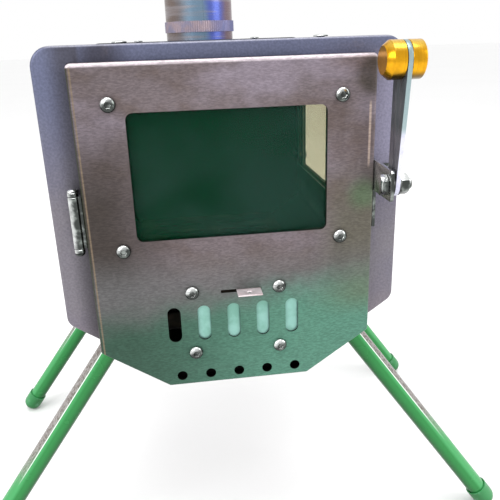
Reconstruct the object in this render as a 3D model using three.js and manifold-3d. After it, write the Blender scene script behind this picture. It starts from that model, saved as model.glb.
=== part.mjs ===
// A tent wood stove: a folded steel box with rounded top corners and a chamfered underside, on four
// splayed legs. The front door has a window, a sliding air damper and a lever handle with a knob.
// Millimetres, +Z up. The front faces -Y. The model is drawn from the door's face, with Y = 0 on that
// face, Y growing into the firebox and Z = 0 at the door's upper bend, then moved to stand on Z = 0.
import * as THREE from 'three';
import { mergeVertices } from 'three/addons/utils/BufferGeometryUtils.js';
import Module from 'manifold-3d';

const wasm = await Module();
wasm.setup();

// ---- Driving sizes ------------------------------------------------------------------------------

const gap = 0.3;                 // between pieces that touch or nearly touch
const runningFit = 0.1;          // radial, between a shaft and the piece that turns on it
const sheet = 1.5;               // folded sheet of body, caps and door
const bendRadius = 2;            // outside of a sheet bend

// Body
const bodyHalfWidth = 130;
const bodyTop = 13.2;
const bodyBottom = -243;
const bodyLength = 350;          // front face of the front panel to back face of the rear panel
const chamferAngle = THREE.MathUtils.degToRad(35);
const chamferTop = -190;         // where the side walls bend in towards the bottom
const topCornerRadius = 14;
const chamferCornerRadius = 10;
const capFlange = 20;            // how far the front and rear panels wrap over the shell

// Door
const doorHalfWidth = 105.5;
const doorTop = 2;
const doorBottom = -244.5;
const doorChamferTop = -210.4;
const doorBottomHalfWidth = 55.4;
const doorCornerRadius = 3.5;
const doorDepth = 14;
const doorSeal = 0.4;            // door flange to front panel
const doorLand = 12;             // how far the door's edge overlaps the rim of the doorway

// Door window
const windowWidth = 140;
const windowHeight = 91.6;
const windowTop = -31;
const windowCornerRadius = 5;
const glassThickness = 4;
const glassMargin = 5;           // glass beyond the opening, each way
const gasketThickness = 1;
const frameMargin = 17;          // glass frame beyond the opening
const windowScrewX = 80.4;
const windowScrewSpacing = 103.8;

// Air slots, air holes and damper
const slotCount = 5;
const slotPitch = 22.8;
const slotCentreX = -2.5;
const slotCentreZ = -191.4;
const slotWidth = 10;
const slotHeight = 29;
const airHoleCount = 5;
const airHolePitch = 22.6;
const airHoleZ = -236;
const airHoleRadius = 4;
const damperThickness = 1.2;
const damperTravel = slotPitch / 2;
const damperPlay = 0.5;          // above and below the plate, to the straps
const damperEdge = 4.2;          // damper plate above and below its windows
const damperEnd = 5;             // damper plate beyond its last window
const tabWidth = 18.5;
const tabReach = 12;
const tabZ = -166.6;
const tabLeft = 0.5;
const tabHoleRadius = 2;
const slitClearance = 0.6;
const damperScrewX = 33.3;
const strapWidth = 11;
const damperScrewTop = -165.6;
const damperScrewBottom = -216.3;

// Fasteners
const screwHeadRadius = 5.25;
const screwHeadHeight = 3.3;
const screwRadius = 2.9;
const screwClearance = 0.4;      // radial, hole round a screw
const nutFlats = 10;
const nutHeight = 4;
const panelScrewX = 70.6;
const panelScrewInset = 10.6;    // from the outer face of a panel to its screws
const panelScrewLength = 9;
const panelHeadHeight = 1.8;     // the panels are held by low heads

// Side window, in the right wall
const sideWindowLength = 268;
const sideWindowHeight = 92;
const sideWindowTop = -48;
const sideWindowCornerRadius = 3;
const sideFrameMargin = 15.5;
const sideScrewMargin = 10;

// Flue
const flueInset = 76.4;          // from the rear panel's face to the axis of the pipe
const pipeRadius = 36;
const pipeWall = 0.8;
const pipeStep = 0.5;            // height of the rolled seam
const pipeLength = 250;
const pipeFit = 0.5;             // pipe over collar
const collarHeight = 24;
const collarWall = 1.5;
const collarFlange = 10;
const ringHeight = 11;
const ringWall = 0.9;
const ringFromEnd = 8;

// Grate
const grateHalfWidth = 86;
const grateTop = -208;
const grateThickness = 2;
const grateSlotCount = 9;
const grateSlotWidth = 9;
const grateSlotLength = 62;
const grateEnd = 14;             // from the shell's end to the grate

// Hinge
const hingeOffset = 6;           // from the door's edge to the pin
const hingeY = 4;
const hingeBarrelRadius = 3.8;
const hingePinRadius = 2.2;
const hingeBarrelTop = -86.9;
const hingeBarrelLength = 38.2;
const knuckleHeight = 3;
const pinHeadHeight = 2.3;

// Handle
const pivotY = -25;
const pivotZ = -85;
const leverThickness = 3;
const leverEyeRadius = 8;         // round the pivot; the bar widens to the disc at the knob
const leverDiscRadius = 12.3;
const knobRise = 83;             // knob axis above the pivot
const knobLean = 6;              // knob axis in front of the pivot
const knobRadius = 12.4;
const knobInnerLength = 12.5;
const knobOuterLength = 9.5;
const knobEndRim = 3.5;           // how much smaller the inner end's radius is
const knobTaper = 4;              // length of the inner half's taper
const knobEndWall = 3;            // solid metal left at the end of the inner half's bore
const knobEdge = 1;               // chamfer of the outer end
const knobScrewRadius = 2.9;
const bracketThickness = 2.5;
const bracketTop = -72.7;
const bracketBottom = -124;
const lugTop = -74;
const lugBottom = -95.5;
const lugReach = 34;
const boltRadius = 4;
const boltHeadFlats = 13;
const boltHeadHeight = 5.3;
const boltNutHeight = 6.5;
const washerRadius = 8;
const washerThickness = 0.8;
const noseLength = 37;           // behind the pivot, towards the front panel
const noseHeight = 11;
const keeperClearance = 1.5;     // keeper leaf to the lever's nose
const keeperThickness = 1.2;
const keeperFoot = 12;
const keeperReach = 12;
const keeperHeight = 14;

// Legs
const floorZ = -444;
const legFrontInset = 47.6;      // front panel's face to the front legs' roots
const legRearInset = 86;         // rear panel's face to the rear legs' roots
const legOutSlope = 0.72;        // outwards per unit down
const legSplay = 0.1;            // forwards or backwards per unit down
const legRadius = 9;
const legWall = 1.2;
const studRadius = 4.7;
const studLength = 11;
const socketRadius = 11;
const socketHeight = 14;
const footWall = 1.3;
const footGrip = 13;             // length of leg inside the foot
const footFlat = 0.8;            // depth of the flat that stands on the floor

// ---- Sizes that follow --------------------------------------------------------------------------

const panelY = doorDepth + doorSeal;
const rearY = panelY + bodyLength;
const chamferSlope = Math.tan(chamferAngle);
const screwHoleRadius = screwRadius + screwClearance;
const flueY = rearY - flueInset;
const hingeX = -doorHalfWidth - hingeOffset;
const bodyBottomHalfWidth = bodyHalfWidth - (chamferTop - bodyBottom) / chamferSlope;
const shellInset = sheet + gap;
const shellTop = bodyTop - shellInset;
const shellX = bodyHalfWidth - shellInset;
const shellFront = panelY + sheet + gap;
const shellRear = rearY - sheet - gap;
const windowCentreZ = windowTop - windowHeight / 2;
const damperY = sheet + gap;
const damperTop = slotCentreZ + slotHeight / 2 + damperEdge;
const damperBottom = slotCentreZ - slotHeight / 2 - damperEdge;
const collarOuterRadius = pipeRadius - pipeWall - pipeFit;
const collarFlangeTop = shellTop + gap + collarWall;
const pipeBottom = collarFlangeTop + gap;
const bracketX = doorHalfWidth + gap;
const leverX = bracketX + bracketThickness + gap + washerThickness + gap;
const knobY = pivotY - knobLean;
const knobZ = pivotZ + knobRise;
const sideGlassX = shellX - sheet - gap - gasketThickness - gap - glassThickness;

// ---- Materials ----------------------------------------------------------------------------------

function finish(color, roughness, metalness) {
  return new THREE.MeshStandardMaterial({ color, roughness, metalness });
}

const steelBody = finish(0x74727e, 0.42, 0.9);
const steelDoor = finish(0x7b6b6c, 0.4, 0.9);
const chrome = finish(0xc9ccd0, 0.18, 1);
const zinc = finish(0xb9c2d4, 0.35, 0.9);
const damperSteel = finish(0x8fb0a6, 0.35, 0.9);
const gold = finish(0xe09a12, 0.25, 1);
const pipeSteel = finish(0x6d7a8a, 0.35, 0.9);
const legSteel = finish(0x2f8f4a, 0.22, 0.8);
const castGrate = finish(0x3a3a3c, 0.7, 0.8);
const glass = finish(0x2c4a3c, 0.08, 0);
const rope = finish(0x8c8a80, 0.9, 0);
const rubber = finish(0x3a5a44, 0.6, 0);

// ---- Helpers: solids ----------------------------------------------------------------------------

function signedVolume(geometry) {
  const p = geometry.attributes.position;
  const index = geometry.index;
  const corner = [new THREE.Vector3(), new THREE.Vector3(), new THREE.Vector3()];
  let six = 0;
  for (let i = 0; i < index.count; i += 3) {
    corner.forEach((v, k) => v.fromBufferAttribute(p, index.getX(i + k)));
    six += corner[0].dot(corner[1].clone().cross(corner[2]));
  }
  return six / 6;
}

// A closed geometry as a solid, with its shared corners merged and its faces turned outwards.
function solid(geometry) {
  const plain = geometry.clone();
  for (const name of Object.keys(plain.attributes)) {
    if (name !== 'position') plain.deleteAttribute(name);
  }
  const merged = mergeVertices(plain, 1e-4);
  const triangles = Uint32Array.from(merged.index.array);
  if (signedVolume(merged) < 0) {
    for (let i = 0; i < triangles.length; i += 3) {
      [triangles[i + 1], triangles[i + 2]] = [triangles[i + 2], triangles[i + 1]];
    }
  }
  const vertProperties = Float32Array.from(merged.attributes.position.array);
  return new wasm.Manifold(new wasm.Mesh({ numProp: 3, vertProperties, triVerts: triangles }));
}

function geometryOf(body) {
  const mesh = body.getMesh();
  const geometry = new THREE.BufferGeometry();
  geometry.setAttribute('position', new THREE.BufferAttribute(Float32Array.from(mesh.vertProperties), 3));
  geometry.setIndex(new THREE.BufferAttribute(Uint32Array.from(mesh.triVerts), 1));
  geometry.computeVertexNormals();
  return geometry;
}

const join = (first, ...rest) => rest.reduce((sum, piece) => sum.add(piece), first);
const cut = (first, ...rest) => rest.reduce((left, piece) => left.subtract(piece), first);

function piece(name, body, material) {
  const mesh = new THREE.Mesh(geometryOf(body), material.clone());
  mesh.name = name;
  return mesh;
}

// ---- Helpers: outlines --------------------------------------------------------------------------

// The corners of a convex outline, listed anticlockwise, moved inwards by the same distance.
function insetCorners(corners, distance) {
  const edges = corners.map(([x, y], i) => {
    const [nx, ny] = corners[(i + 1) % corners.length];
    const length = Math.hypot(nx - x, ny - y);
    const dir = [(nx - x) / length, (ny - y) / length];
    return { at: [x - dir[1] * distance, y + dir[0] * distance], dir };
  });
  return corners.map((_, i) => {
    const a = edges[(i + edges.length - 1) % edges.length];
    const b = edges[i];
    const across = a.dir[0] * b.dir[1] - a.dir[1] * b.dir[0];
    const t = ((b.at[0] - a.at[0]) * b.dir[1] - (b.at[1] - a.at[1]) * b.dir[0]) / across;
    return [a.at[0] + a.dir[0] * t, a.at[1] + a.dir[1] * t];
  });
}

// An outline whose corners are rounded, each by its own radius less the inset.
function outline(corners, radii, inset = 0) {
  const shape = new THREE.Shape();
  const moved = insetCorners(corners, inset);
  moved.forEach(([x, y], i) => {
    const radius = Math.max(radii[i] - inset, 0.01);
    const [px, py] = moved[(i + moved.length - 1) % moved.length];
    const [nx, ny] = moved[(i + 1) % moved.length];
    const inAngle = Math.atan2(y - py, x - px);
    const outAngle = Math.atan2(ny - y, nx - x);
    const turn = THREE.MathUtils.euclideanModulo(outAngle - inAngle, 2 * Math.PI);
    const back = radius * Math.tan(turn / 2);
    const cx = x - Math.cos(inAngle) * back - Math.sin(inAngle) * radius;
    const cy = y - Math.sin(inAngle) * back + Math.cos(inAngle) * radius;
    shape.absarc(cx, cy, radius, inAngle - Math.PI / 2, outAngle - Math.PI / 2, false);
  });
  return shape;
}

function roundedRectangle(left, bottom, right, top, radius) {
  const corners = [[left, bottom], [right, bottom], [right, top], [left, top]];
  return outline(corners, corners.map(() => radius));
}

function regularOutline(x, y, radius, sides, turn = 0) {
  const points = [];
  for (let i = 0; i < sides; i++) {
    const angle = turn + (2 * Math.PI * i) / sides;
    points.push(new THREE.Vector2(x + radius * Math.cos(angle), y + radius * Math.sin(angle)));
  }
  return new THREE.Shape(points);
}

// ---- Helpers: plates, rounds and boxes ----------------------------------------------------------

const upright = new THREE.Matrix4().makeBasis(
  new THREE.Vector3(1, 0, 0), new THREE.Vector3(0, 0, 1), new THREE.Vector3(0, -1, 0));
const sideways = new THREE.Matrix4().makeBasis(
  new THREE.Vector3(0, 1, 0), new THREE.Vector3(0, 0, 1), new THREE.Vector3(1, 0, 0));

function extruded(shape, depth, steps, bevel) {
  const bevelled = bevel > 0;
  return new THREE.ExtrudeGeometry(shape, {
    depth, curveSegments: steps, bevelEnabled: bevelled, bevelThickness: bevel, bevelSize: bevel,
    bevelOffset: -bevel, bevelSegments: 2,
  });
}

// A plate drawn in X and Z, from y0 to y1.
function plateAcross(shape, y0, y1, steps = 2) {
  return solid(extruded(shape, y1 - y0, steps, 0).applyMatrix4(upright).translate(0, y1, 0));
}

// A plate drawn in Y and Z, from x0 to x1.
function plateAlong(shape, x0, x1, steps = 2) {
  return solid(extruded(shape, x1 - x0, steps, 0).applyMatrix4(sideways).translate(x0, 0, 0));
}

// A plate drawn in X and Y, from z0 to z1.
function plateFlat(shape, z0, z1, steps = 2) {
  return solid(extruded(shape, z1 - z0, steps, 0).translate(0, 0, z0));
}

function box(x0, y0, z0, x1, y1, z1) {
  const geometry = new THREE.BoxGeometry(x1 - x0, y1 - y0, z1 - z0);
  return solid(geometry.translate((x0 + x1) / 2, (y0 + y1) / 2, (z0 + z1) / 2));
}

// A turned solid whose profile gives radius and height; its axis is then laid along a direction.
function turned(profile, direction, at, sides = 24) {
  const points = profile.map(([radius, height]) => new THREE.Vector2(radius, height));
  const along = direction.clone().normalize();
  const turnTo = new THREE.Quaternion().setFromUnitVectors(new THREE.Vector3(0, 1, 0), along);
  return solid(new THREE.LatheGeometry(points, sides).applyQuaternion(turnTo).translate(...at));
}

function rod(radius, from, to, sides = 24) {
  const start = new THREE.Vector3(...from);
  const along = new THREE.Vector3(...to).sub(start);
  const profile = [[0, 0], [radius, 0], [radius, along.length()], [0, along.length()]];
  return turned(profile, along, from, sides);
}

function tube(outer, inner, from, to, sides = 24) {
  const start = new THREE.Vector3(...from);
  const along = new THREE.Vector3(...to).sub(start);
  const length = along.length();
  const profile = [[inner, 0], [outer, 0], [outer, length], [inner, length], [inner, 0]];
  return turned(profile, along, from, sides);
}

const front = new THREE.Vector3(0, -1, 0);
const right = new THREE.Vector3(1, 0, 0);
const up = new THREE.Vector3(0, 0, 1);

// ---- Body ---------------------------------------------------------------------------------------

const bodyCorners = [
  [-bodyBottomHalfWidth, bodyBottom], [bodyBottomHalfWidth, bodyBottom],
  [bodyHalfWidth, chamferTop], [bodyHalfWidth, bodyTop],
  [-bodyHalfWidth, bodyTop], [-bodyHalfWidth, chamferTop],
];
const bodyRadii = [
  chamferCornerRadius, chamferCornerRadius, chamferCornerRadius,
  topCornerRadius, topCornerRadius, chamferCornerRadius,
];

const doorCorners = [
  [-doorBottomHalfWidth, doorBottom], [doorBottomHalfWidth, doorBottom],
  [doorHalfWidth, doorChamferTop], [doorHalfWidth, doorTop],
  [-doorHalfWidth, doorTop], [-doorHalfWidth, doorChamferTop],
];
const doorRadii = doorCorners.map(() => doorCornerRadius);

// A tray of sheet with its face at y = 0, a rounded bend round the face and its flange to y = depth.
function tray(corners, radii, depth) {
  const face = extruded(outline(corners, radii), 2 * depth, 2, bendRadius);
  const block = solid(face.applyMatrix4(upright).translate(0, 2 * depth + bendRadius, 0));
  const far = 1000;
  const behind = box(-far, depth, -far, far, 4 * depth, far);
  const hollow = plateAcross(outline(corners, radii, sheet), sheet, 3 * depth);
  return cut(block, behind, hollow);
}

// The screws that hold a panel to the shell, through the top of the panel's flange.
const panelScrewSeats = (y) => [-panelScrewX, panelScrewX].map((x) => [x, y, bodyTop]);
const frontScrewSeats = panelScrewSeats(panelY + panelScrewInset);
const rearScrewSeats = panelScrewSeats(rearY - panelScrewInset);

function throughHoles(seats, direction, radius) {
  const reach = 20;
  return seats.map((at) => {
    const mid = new THREE.Vector3(...at);
    const ends = [-reach, reach].map((s) => mid.clone().addScaledVector(direction, s).toArray());
    return rod(radius, ends[0], ends[1], 10);
  });
}

// A button-head screw: its head stands on the seat and its shank runs back through it.
function screw(name, seat, out, length, headHeight) {
  const profile = [
    [0, -length], [screwRadius, -length], [screwRadius, gap], [screwHeadRadius, gap],
    [screwHeadRadius * 0.75, gap + headHeight * 0.8], [0, gap + headHeight],
  ];
  return piece(name, turned(profile, out, seat, 12), chrome);
}

function screws(name, seats, out, length, headHeight = screwHeadHeight) {
  return seats.map((at, i) => screw(`${name}_${i + 1}`, at, out, length, headHeight));
}

function nut(at, direction, flats = nutFlats, height = nutHeight, bore = screwHoleRadius) {
  const hexagon = regularOutline(0, 0, flats / Math.sqrt(3), 6);
  hexagon.holes.push(regularOutline(0, 0, bore, 12));
  const turnTo = new THREE.Quaternion().setFromUnitVectors(up, direction);
  return solid(extruded(hexagon, height, 3, 0).applyQuaternion(turnTo).translate(...at));
}

function makeFrontPanel() {
  const opening = outline(doorCorners, doorRadii.map((radius) => doorLand + radius), doorLand);
  const doorway = plateAcross(opening, -1, 2 * sheet);
  const panel = cut(tray(bodyCorners, bodyRadii, capFlange), doorway).translate([0, panelY, 0]);
  return piece('front_panel', cut(panel, ...throughHoles(frontScrewSeats, up, screwHoleRadius)), steelBody);
}

function makeRearPanel() {
  const cap = tray(bodyCorners, bodyRadii, capFlange).rotate([0, 0, 180]).translate([0, rearY, 0]);
  return piece('rear_panel', cut(cap, ...throughHoles(rearScrewSeats, up, screwHoleRadius)), steelBody);
}

const sideWindowY0 = (panelY + rearY - sideWindowLength) / 2;
const sideWindowY1 = sideWindowY0 + sideWindowLength;
const sideWindowBottom = sideWindowTop - sideWindowHeight;

function sideWindowOutline(margin) {
  const radius = sideWindowCornerRadius + margin;
  return roundedRectangle(sideWindowY0 - margin, sideWindowBottom - margin,
    sideWindowY1 + margin, sideWindowTop + margin, Math.min(radius, 6));
}

const sideScrewSeats = [sideWindowY0 - sideScrewMargin, sideWindowY1 + sideScrewMargin].flatMap((y) =>
  [sideWindowTop - sideScrewMargin, sideWindowBottom + sideScrewMargin].map((z) => [shellX, y, z]));

function makeShell() {
  const outer = outline(bodyCorners, bodyRadii, shellInset);
  const inner = outline(bodyCorners, bodyRadii, shellInset + sheet);
  const pipe = cut(plateAcross(outer, shellFront, shellRear), plateAcross(inner, 0, rearY));
  const flueRadius = collarOuterRadius - collarWall;
  const flueHole = rod(flueRadius, [0, flueY, shellTop - 10], [0, flueY, shellTop + 10], 24);
  const window = plateAlong(sideWindowOutline(0), shellX - 10, shellX + 10);
  const panelHoles = throughHoles([...frontScrewSeats, ...rearScrewSeats], up, screwHoleRadius);
  const windowHoles = throughHoles(sideScrewSeats, right, screwHoleRadius);
  return piece('body_shell', cut(pipe, flueHole, window, ...panelHoles, ...windowHoles), steelBody);
}

function makeCollar() {
  const inner = collarOuterRadius - collarWall;
  const base = shellTop + gap;
  const profile = [
    [inner, base], [collarOuterRadius + collarFlange, base],
    [collarOuterRadius + collarFlange, collarFlangeTop], [collarOuterRadius, collarFlangeTop],
    [collarOuterRadius, base + collarHeight], [inner, base + collarHeight], [inner, base],
  ];
  return piece('flue_collar', turned(profile, up, [0, flueY, 0], 28), steelBody);
}

// The inside of the shell's chamfer: its height at a distance from the middle.
function chamferInsideZ(x) {
  const across = (shellInset + sheet) / Math.cos(chamferAngle);
  return chamferTop - (bodyHalfWidth - x) * chamferSlope + across;
}

function makeGrate() {
  const y0 = shellFront + grateEnd;
  const y1 = shellRear - grateEnd;
  const lipBottom = chamferInsideZ(grateHalfWidth) + gap;
  const under = grateTop - grateThickness;
  const top = box(-grateHalfWidth, y0, under, grateHalfWidth, y1, grateTop);
  const lips = [-1, 1].map((side) => {
    const xs = [side * grateHalfWidth, side * (grateHalfWidth - grateThickness)].sort((a, b) => a - b);
    return box(xs[0], y0, lipBottom, xs[1], y1, grateTop - grateThickness / 2);
  });
  const pitch = (y1 - y0) / (grateSlotCount + 1);
  const slots = [];
  for (let row = 1; row <= grateSlotCount; row++) {
    for (const side of [-1, 1]) {
      const cx = side * grateHalfWidth * 0.46;
      const cy = y0 + row * pitch;
      const slot = roundedRectangle(cx - grateSlotLength / 2, cy - grateSlotWidth / 2,
        cx + grateSlotLength / 2, cy + grateSlotWidth / 2, grateSlotWidth / 2);
      slots.push(plateFlat(slot, under - 1, grateTop + 1, 1));
    }
  }
  return piece('fire_grate', cut(join(top, ...lips), ...slots), castGrate);
}

// ---- Side window --------------------------------------------------------------------------------

function ringAlong(outerMargin, innerMargin, x0, x1) {
  return cut(plateAlong(sideWindowOutline(outerMargin), x0, x1),
    plateAlong(sideWindowOutline(innerMargin), x0 - 1, x1 + 1));
}

function makeSideWindow() {
  const wallInside = shellX - sheet;
  const gasketX = wallInside - gap - gasketThickness;
  const frameX = sideGlassX - gap - sheet;
  const pane = plateAlong(sideWindowOutline(glassMargin), sideGlassX, sideGlassX + glassThickness);
  const gasket = ringAlong(glassMargin, 0.5, gasketX, gasketX + gasketThickness);
  const frame = join(ringAlong(sideFrameMargin, 1, frameX, frameX + sheet),
    ringAlong(sideFrameMargin, sideFrameMargin - sheet, frameX + sheet / 2, wallInside - gap));
  const nuts = sideScrewSeats.map(([, y, z]) => nut([frameX - nutHeight, y, z], right));
  const drilled = cut(join(frame, ...nuts), ...throughHoles(sideScrewSeats, right, screwHoleRadius));
  return [
    piece('side_window_glass', pane, glass),
    piece('side_window_gasket', gasket, rope),
    piece('side_window_frame', drilled, steelBody),
    ...screws('side_window_screw', sideScrewSeats, right, shellX - frameX + nutHeight),
  ];
}

// ---- Door ---------------------------------------------------------------------------------------

function windowOutline(margin) {
  const half = windowWidth / 2 + margin;
  const low = windowTop - windowHeight - margin;
  return roundedRectangle(-half, low, half, windowTop + margin, windowCornerRadius);
}

const windowScrewSeats = [-windowScrewX, windowScrewX].flatMap((x) =>
  [-0.5, 0.5].map((half) => [x, 0, windowCentreZ + half * windowScrewSpacing]));

const damperScrewSeats = [-damperScrewX, damperScrewX].flatMap((x) =>
  [damperScrewTop, damperScrewBottom].map((z) => [x, 0, z]));

const slotX = (i) => slotCentreX + (i - (slotCount - 1) / 2) * slotPitch;

function slotOutline(x) {
  return roundedRectangle(x - slotWidth / 2, slotCentreZ - slotHeight / 2,
    x + slotWidth / 2, slotCentreZ + slotHeight / 2, slotWidth / 2);
}

function makeDoorPanel() {
  const reach = 4 * sheet;
  const through = (shape) => plateAcross(shape, -reach, reach);
  const slots = [];
  for (let i = 0; i < slotCount; i++) slots.push(through(slotOutline(slotX(i))));
  const airHoles = [];
  for (let i = 0; i < airHoleCount; i++) {
    const x = (i - (airHoleCount - 1) / 2) * airHolePitch;
    airHoles.push(through(regularOutline(x, airHoleZ, airHoleRadius, 12)));
  }
  const slitHalfHeight = damperThickness / 2 + slitClearance;
  const slit = box(tabLeft - damperTravel - slitClearance, -reach, tabZ - slitHalfHeight,
    tabLeft + tabWidth + slitClearance, reach, tabZ + slitHalfHeight);
  const screwHoles = throughHoles([...windowScrewSeats, ...damperScrewSeats], front, screwHoleRadius);
  const panel = cut(tray(doorCorners, doorRadii, doorDepth), through(windowOutline(0)),
    ...slots, ...airHoles, slit, ...screwHoles);
  return piece('door_panel', panel, steelDoor);
}

function ringAcross(outerMargin, innerMargin, y0, y1) {
  return cut(plateAcross(windowOutline(outerMargin), y0, y1),
    plateAcross(windowOutline(innerMargin), y0 - 1, y1 + 1));
}

function makeDoorWindow() {
  const gasketY = sheet + gap;
  const glassY = gasketY + gasketThickness + gap;
  const frameY = glassY + glassThickness + gap;
  const pane = plateAcross(windowOutline(glassMargin), glassY, glassY + glassThickness);
  const gasket = ringAcross(glassMargin, 0.5, gasketY, gasketY + gasketThickness);
  const rim = ringAcross(frameMargin, frameMargin - sheet, gasketY, frameY + sheet / 2);
  const frame = join(ringAcross(frameMargin, 1, frameY, frameY + sheet), rim);
  const nutRear = frameY + sheet + nutHeight;
  const nuts = windowScrewSeats.map(([x, , z]) => nut([x, nutRear, z], front));
  const drilled = cut(join(frame, ...nuts), ...throughHoles(windowScrewSeats, front, screwHoleRadius));
  return [
    piece('door_glass', pane, glass),
    piece('door_glass_gasket', gasket, rope),
    piece('door_glass_frame', drilled, steelDoor),
    ...screws('door_glass_screw', windowScrewSeats, front, nutRear),
  ];
}

const damperLeft = slotX(0) + slotWidth / 2 + damperTravel + 0.9;
const damperRight = slotX(slotCount - 1) + damperTravel + slotWidth / 2 + damperEnd;

function makeDamper() {
  const plate = box(damperLeft, damperY, damperBottom, damperRight, damperY + damperThickness, damperTop);
  const neckTop = tabZ + damperThickness / 2;
  const tabRight = tabLeft + tabWidth;
  const neck = box(tabLeft, damperY, damperTop - 1, tabRight, damperY + damperThickness, neckTop);
  const tab = plateFlat(roundedRectangle(tabLeft, -tabReach, tabRight, damperY + damperThickness / 2, 0.5),
    tabZ - damperThickness / 2, neckTop);
  const tabHole = rod(tabHoleRadius, [tabLeft + tabWidth / 2, -tabReach / 2, tabZ - 5],
    [tabLeft + tabWidth / 2, -tabReach / 2, tabZ + 5], 12);
  const windows = [];
  for (let i = 1; i < slotCount; i++) {
    windows.push(plateAcross(slotOutline(slotX(i) + damperTravel), 0, 3 * sheet));
  }
  return piece('damper_plate', cut(join(plate, neck, tab), tabHole, ...windows), damperSteel);
}

// Two straps, cranked over the damper plate, hold it to the door. Their ends carry welded nuts.
function makeDamperStraps() {
  const near = damperY;
  const nearBack = damperY + damperThickness;
  const lip = nearBack + gap;
  const lipBack = lip + damperThickness;
  const footTop = damperScrewTop + 6;
  const footBottom = damperScrewBottom - 6;
  const above = damperTop + damperPlay;
  const below = damperBottom - damperPlay;
  const points = [
    [near, footTop], [nearBack, footTop], [nearBack, above + damperThickness], [lipBack, above],
    [lipBack, below], [nearBack, below - damperThickness], [nearBack, footBottom], [near, footBottom],
    [near, below], [lip, below], [lip, above], [near, above],
  ].map(([y, z]) => new THREE.Vector2(y, z));
  const nutRear = nearBack + nutHeight;
  const straps = [-damperScrewX, damperScrewX].map((x, i) => {
    const seats = damperScrewSeats.filter(([seatX]) => seatX === x);
    const strip = plateAlong(new THREE.Shape(points), x - strapWidth / 2, x + strapWidth / 2);
    const nuts = seats.map(([, , z]) => nut([x, nutRear, z], front));
    const holes = throughHoles(seats, front, screwHoleRadius);
    const name = i ? 'damper_strap_right' : 'damper_strap_left';
    return piece(name, cut(join(strip, ...nuts), ...holes), steelDoor);
  });
  return [...straps, ...screws('damper_screw', damperScrewSeats, front, nutRear)];
}

// ---- Hinge --------------------------------------------------------------------------------------

const hingeBarrelBottom = hingeBarrelTop - hingeBarrelLength;

function makeHinge() {
  const bore = hingePinRadius + runningFit;
  const at = (z) => [hingeX, hingeY, z];
  const barrel = tube(hingeBarrelRadius, bore, at(hingeBarrelBottom), at(hingeBarrelTop), 16);
  const leafX0 = -doorHalfWidth - gap - 2;
  const leafX1 = -doorHalfWidth - gap;
  const leaf = box(leafX0, hingeY - 1, hingeBarrelBottom, leafX1, doorDepth - 1, hingeBarrelTop);
  const armX0 = hingeX + bore + 0.4;
  const arm = box(armX0, hingeY - 1, hingeBarrelBottom, leafX0 + 1, hingeY + 1.5, hingeBarrelTop);
  const knuckles = [hingeBarrelTop + gap, hingeBarrelBottom - gap - knuckleHeight].map((z) => {
    const foot = box(hingeX - 3, hingeY, z, hingeX + 2.5, panelY - gap, z + knuckleHeight);
    const ring = join(rod(hingeBarrelRadius, at(z), at(z + knuckleHeight), 16), foot);
    return cut(ring, rod(bore, at(z - 1), at(z + knuckleHeight + 1), 16));
  });
  const knuckleNames = ['hinge_knuckle_upper', 'hinge_knuckle_lower'];
  const topZ = hingeBarrelTop + gap + knuckleHeight + gap;
  const bottomZ = hingeBarrelBottom - gap - knuckleHeight - gap;
  const headRadius = hingeBarrelRadius * 0.95;
  const pin = [
    [0, bottomZ - pinHeadHeight], [headRadius * 0.6, bottomZ - pinHeadHeight],
    [headRadius, bottomZ - pinHeadHeight * 0.4], [headRadius, bottomZ], [hingePinRadius, bottomZ],
    [hingePinRadius, topZ], [headRadius, topZ], [headRadius, topZ + pinHeadHeight * 0.4],
    [headRadius * 0.6, topZ + pinHeadHeight], [0, topZ + pinHeadHeight],
  ];
  return {
    leaf: piece('hinge_door_barrel', join(barrel, leaf, arm), chrome),
    knuckles: knuckles.map((body, i) => piece(knuckleNames[i], body, chrome)),
    pin: piece('hinge_pin', turned(pin, up, [hingeX, hingeY, 0], 16), chrome),
  };
}

// ---- Handle -------------------------------------------------------------------------------------

function makeBracket() {
  const spineFront = bendRadius;
  const points = [
    [spineFront, bracketBottom], [doorDepth - 1, bracketBottom], [doorDepth - 1, bracketTop],
    [spineFront - 2, bracketTop], [-lugReach, lugTop], [-lugReach, lugBottom], [spineFront, lugBottom],
  ].map(([y, z]) => new THREE.Vector2(y, z));
  const plate = plateAlong(new THREE.Shape(points), bracketX, bracketX + bracketThickness);
  const hole = rod(boltRadius + gap, [bracketX - 1, pivotY, pivotZ], [leverX, pivotY, pivotZ], 16);
  return piece('handle_bracket', cut(plate, hole), chrome);
}

function makePivot() {
  const at = (x) => [x, pivotY, pivotZ];
  const headX = bracketX - gap;
  const nutX = leverX + leverThickness + gap + washerThickness + gap;
  const head = regularOutline(0, 0, boltHeadFlats / Math.sqrt(3), 6);
  const laid = extruded(head, boltHeadHeight, 3, 0).applyMatrix4(sideways);
  const hex = solid(laid.translate(headX - boltHeadHeight, pivotY, pivotZ));
  const shank = rod(boltRadius, at(headX - 1), at(nutX + boltNutHeight + 2.5), 24);
  const washerAt = [bracketX + bracketThickness + gap, leverX + leverThickness + gap];
  const washers = washerAt.map((x, i) => {
    const ring = tube(washerRadius, boltRadius + gap, at(x), at(x + washerThickness), 16);
    return piece(i ? 'handle_washer_outer' : 'handle_washer_inner', ring, chrome);
  });
  return [
    piece('handle_bolt', join(hex, shank), chrome),
    ...washers,
    piece('handle_nut', nut(at(nutX), right, boltHeadFlats, boltNutHeight, boltRadius + gap), chrome),
  ];
}

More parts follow.
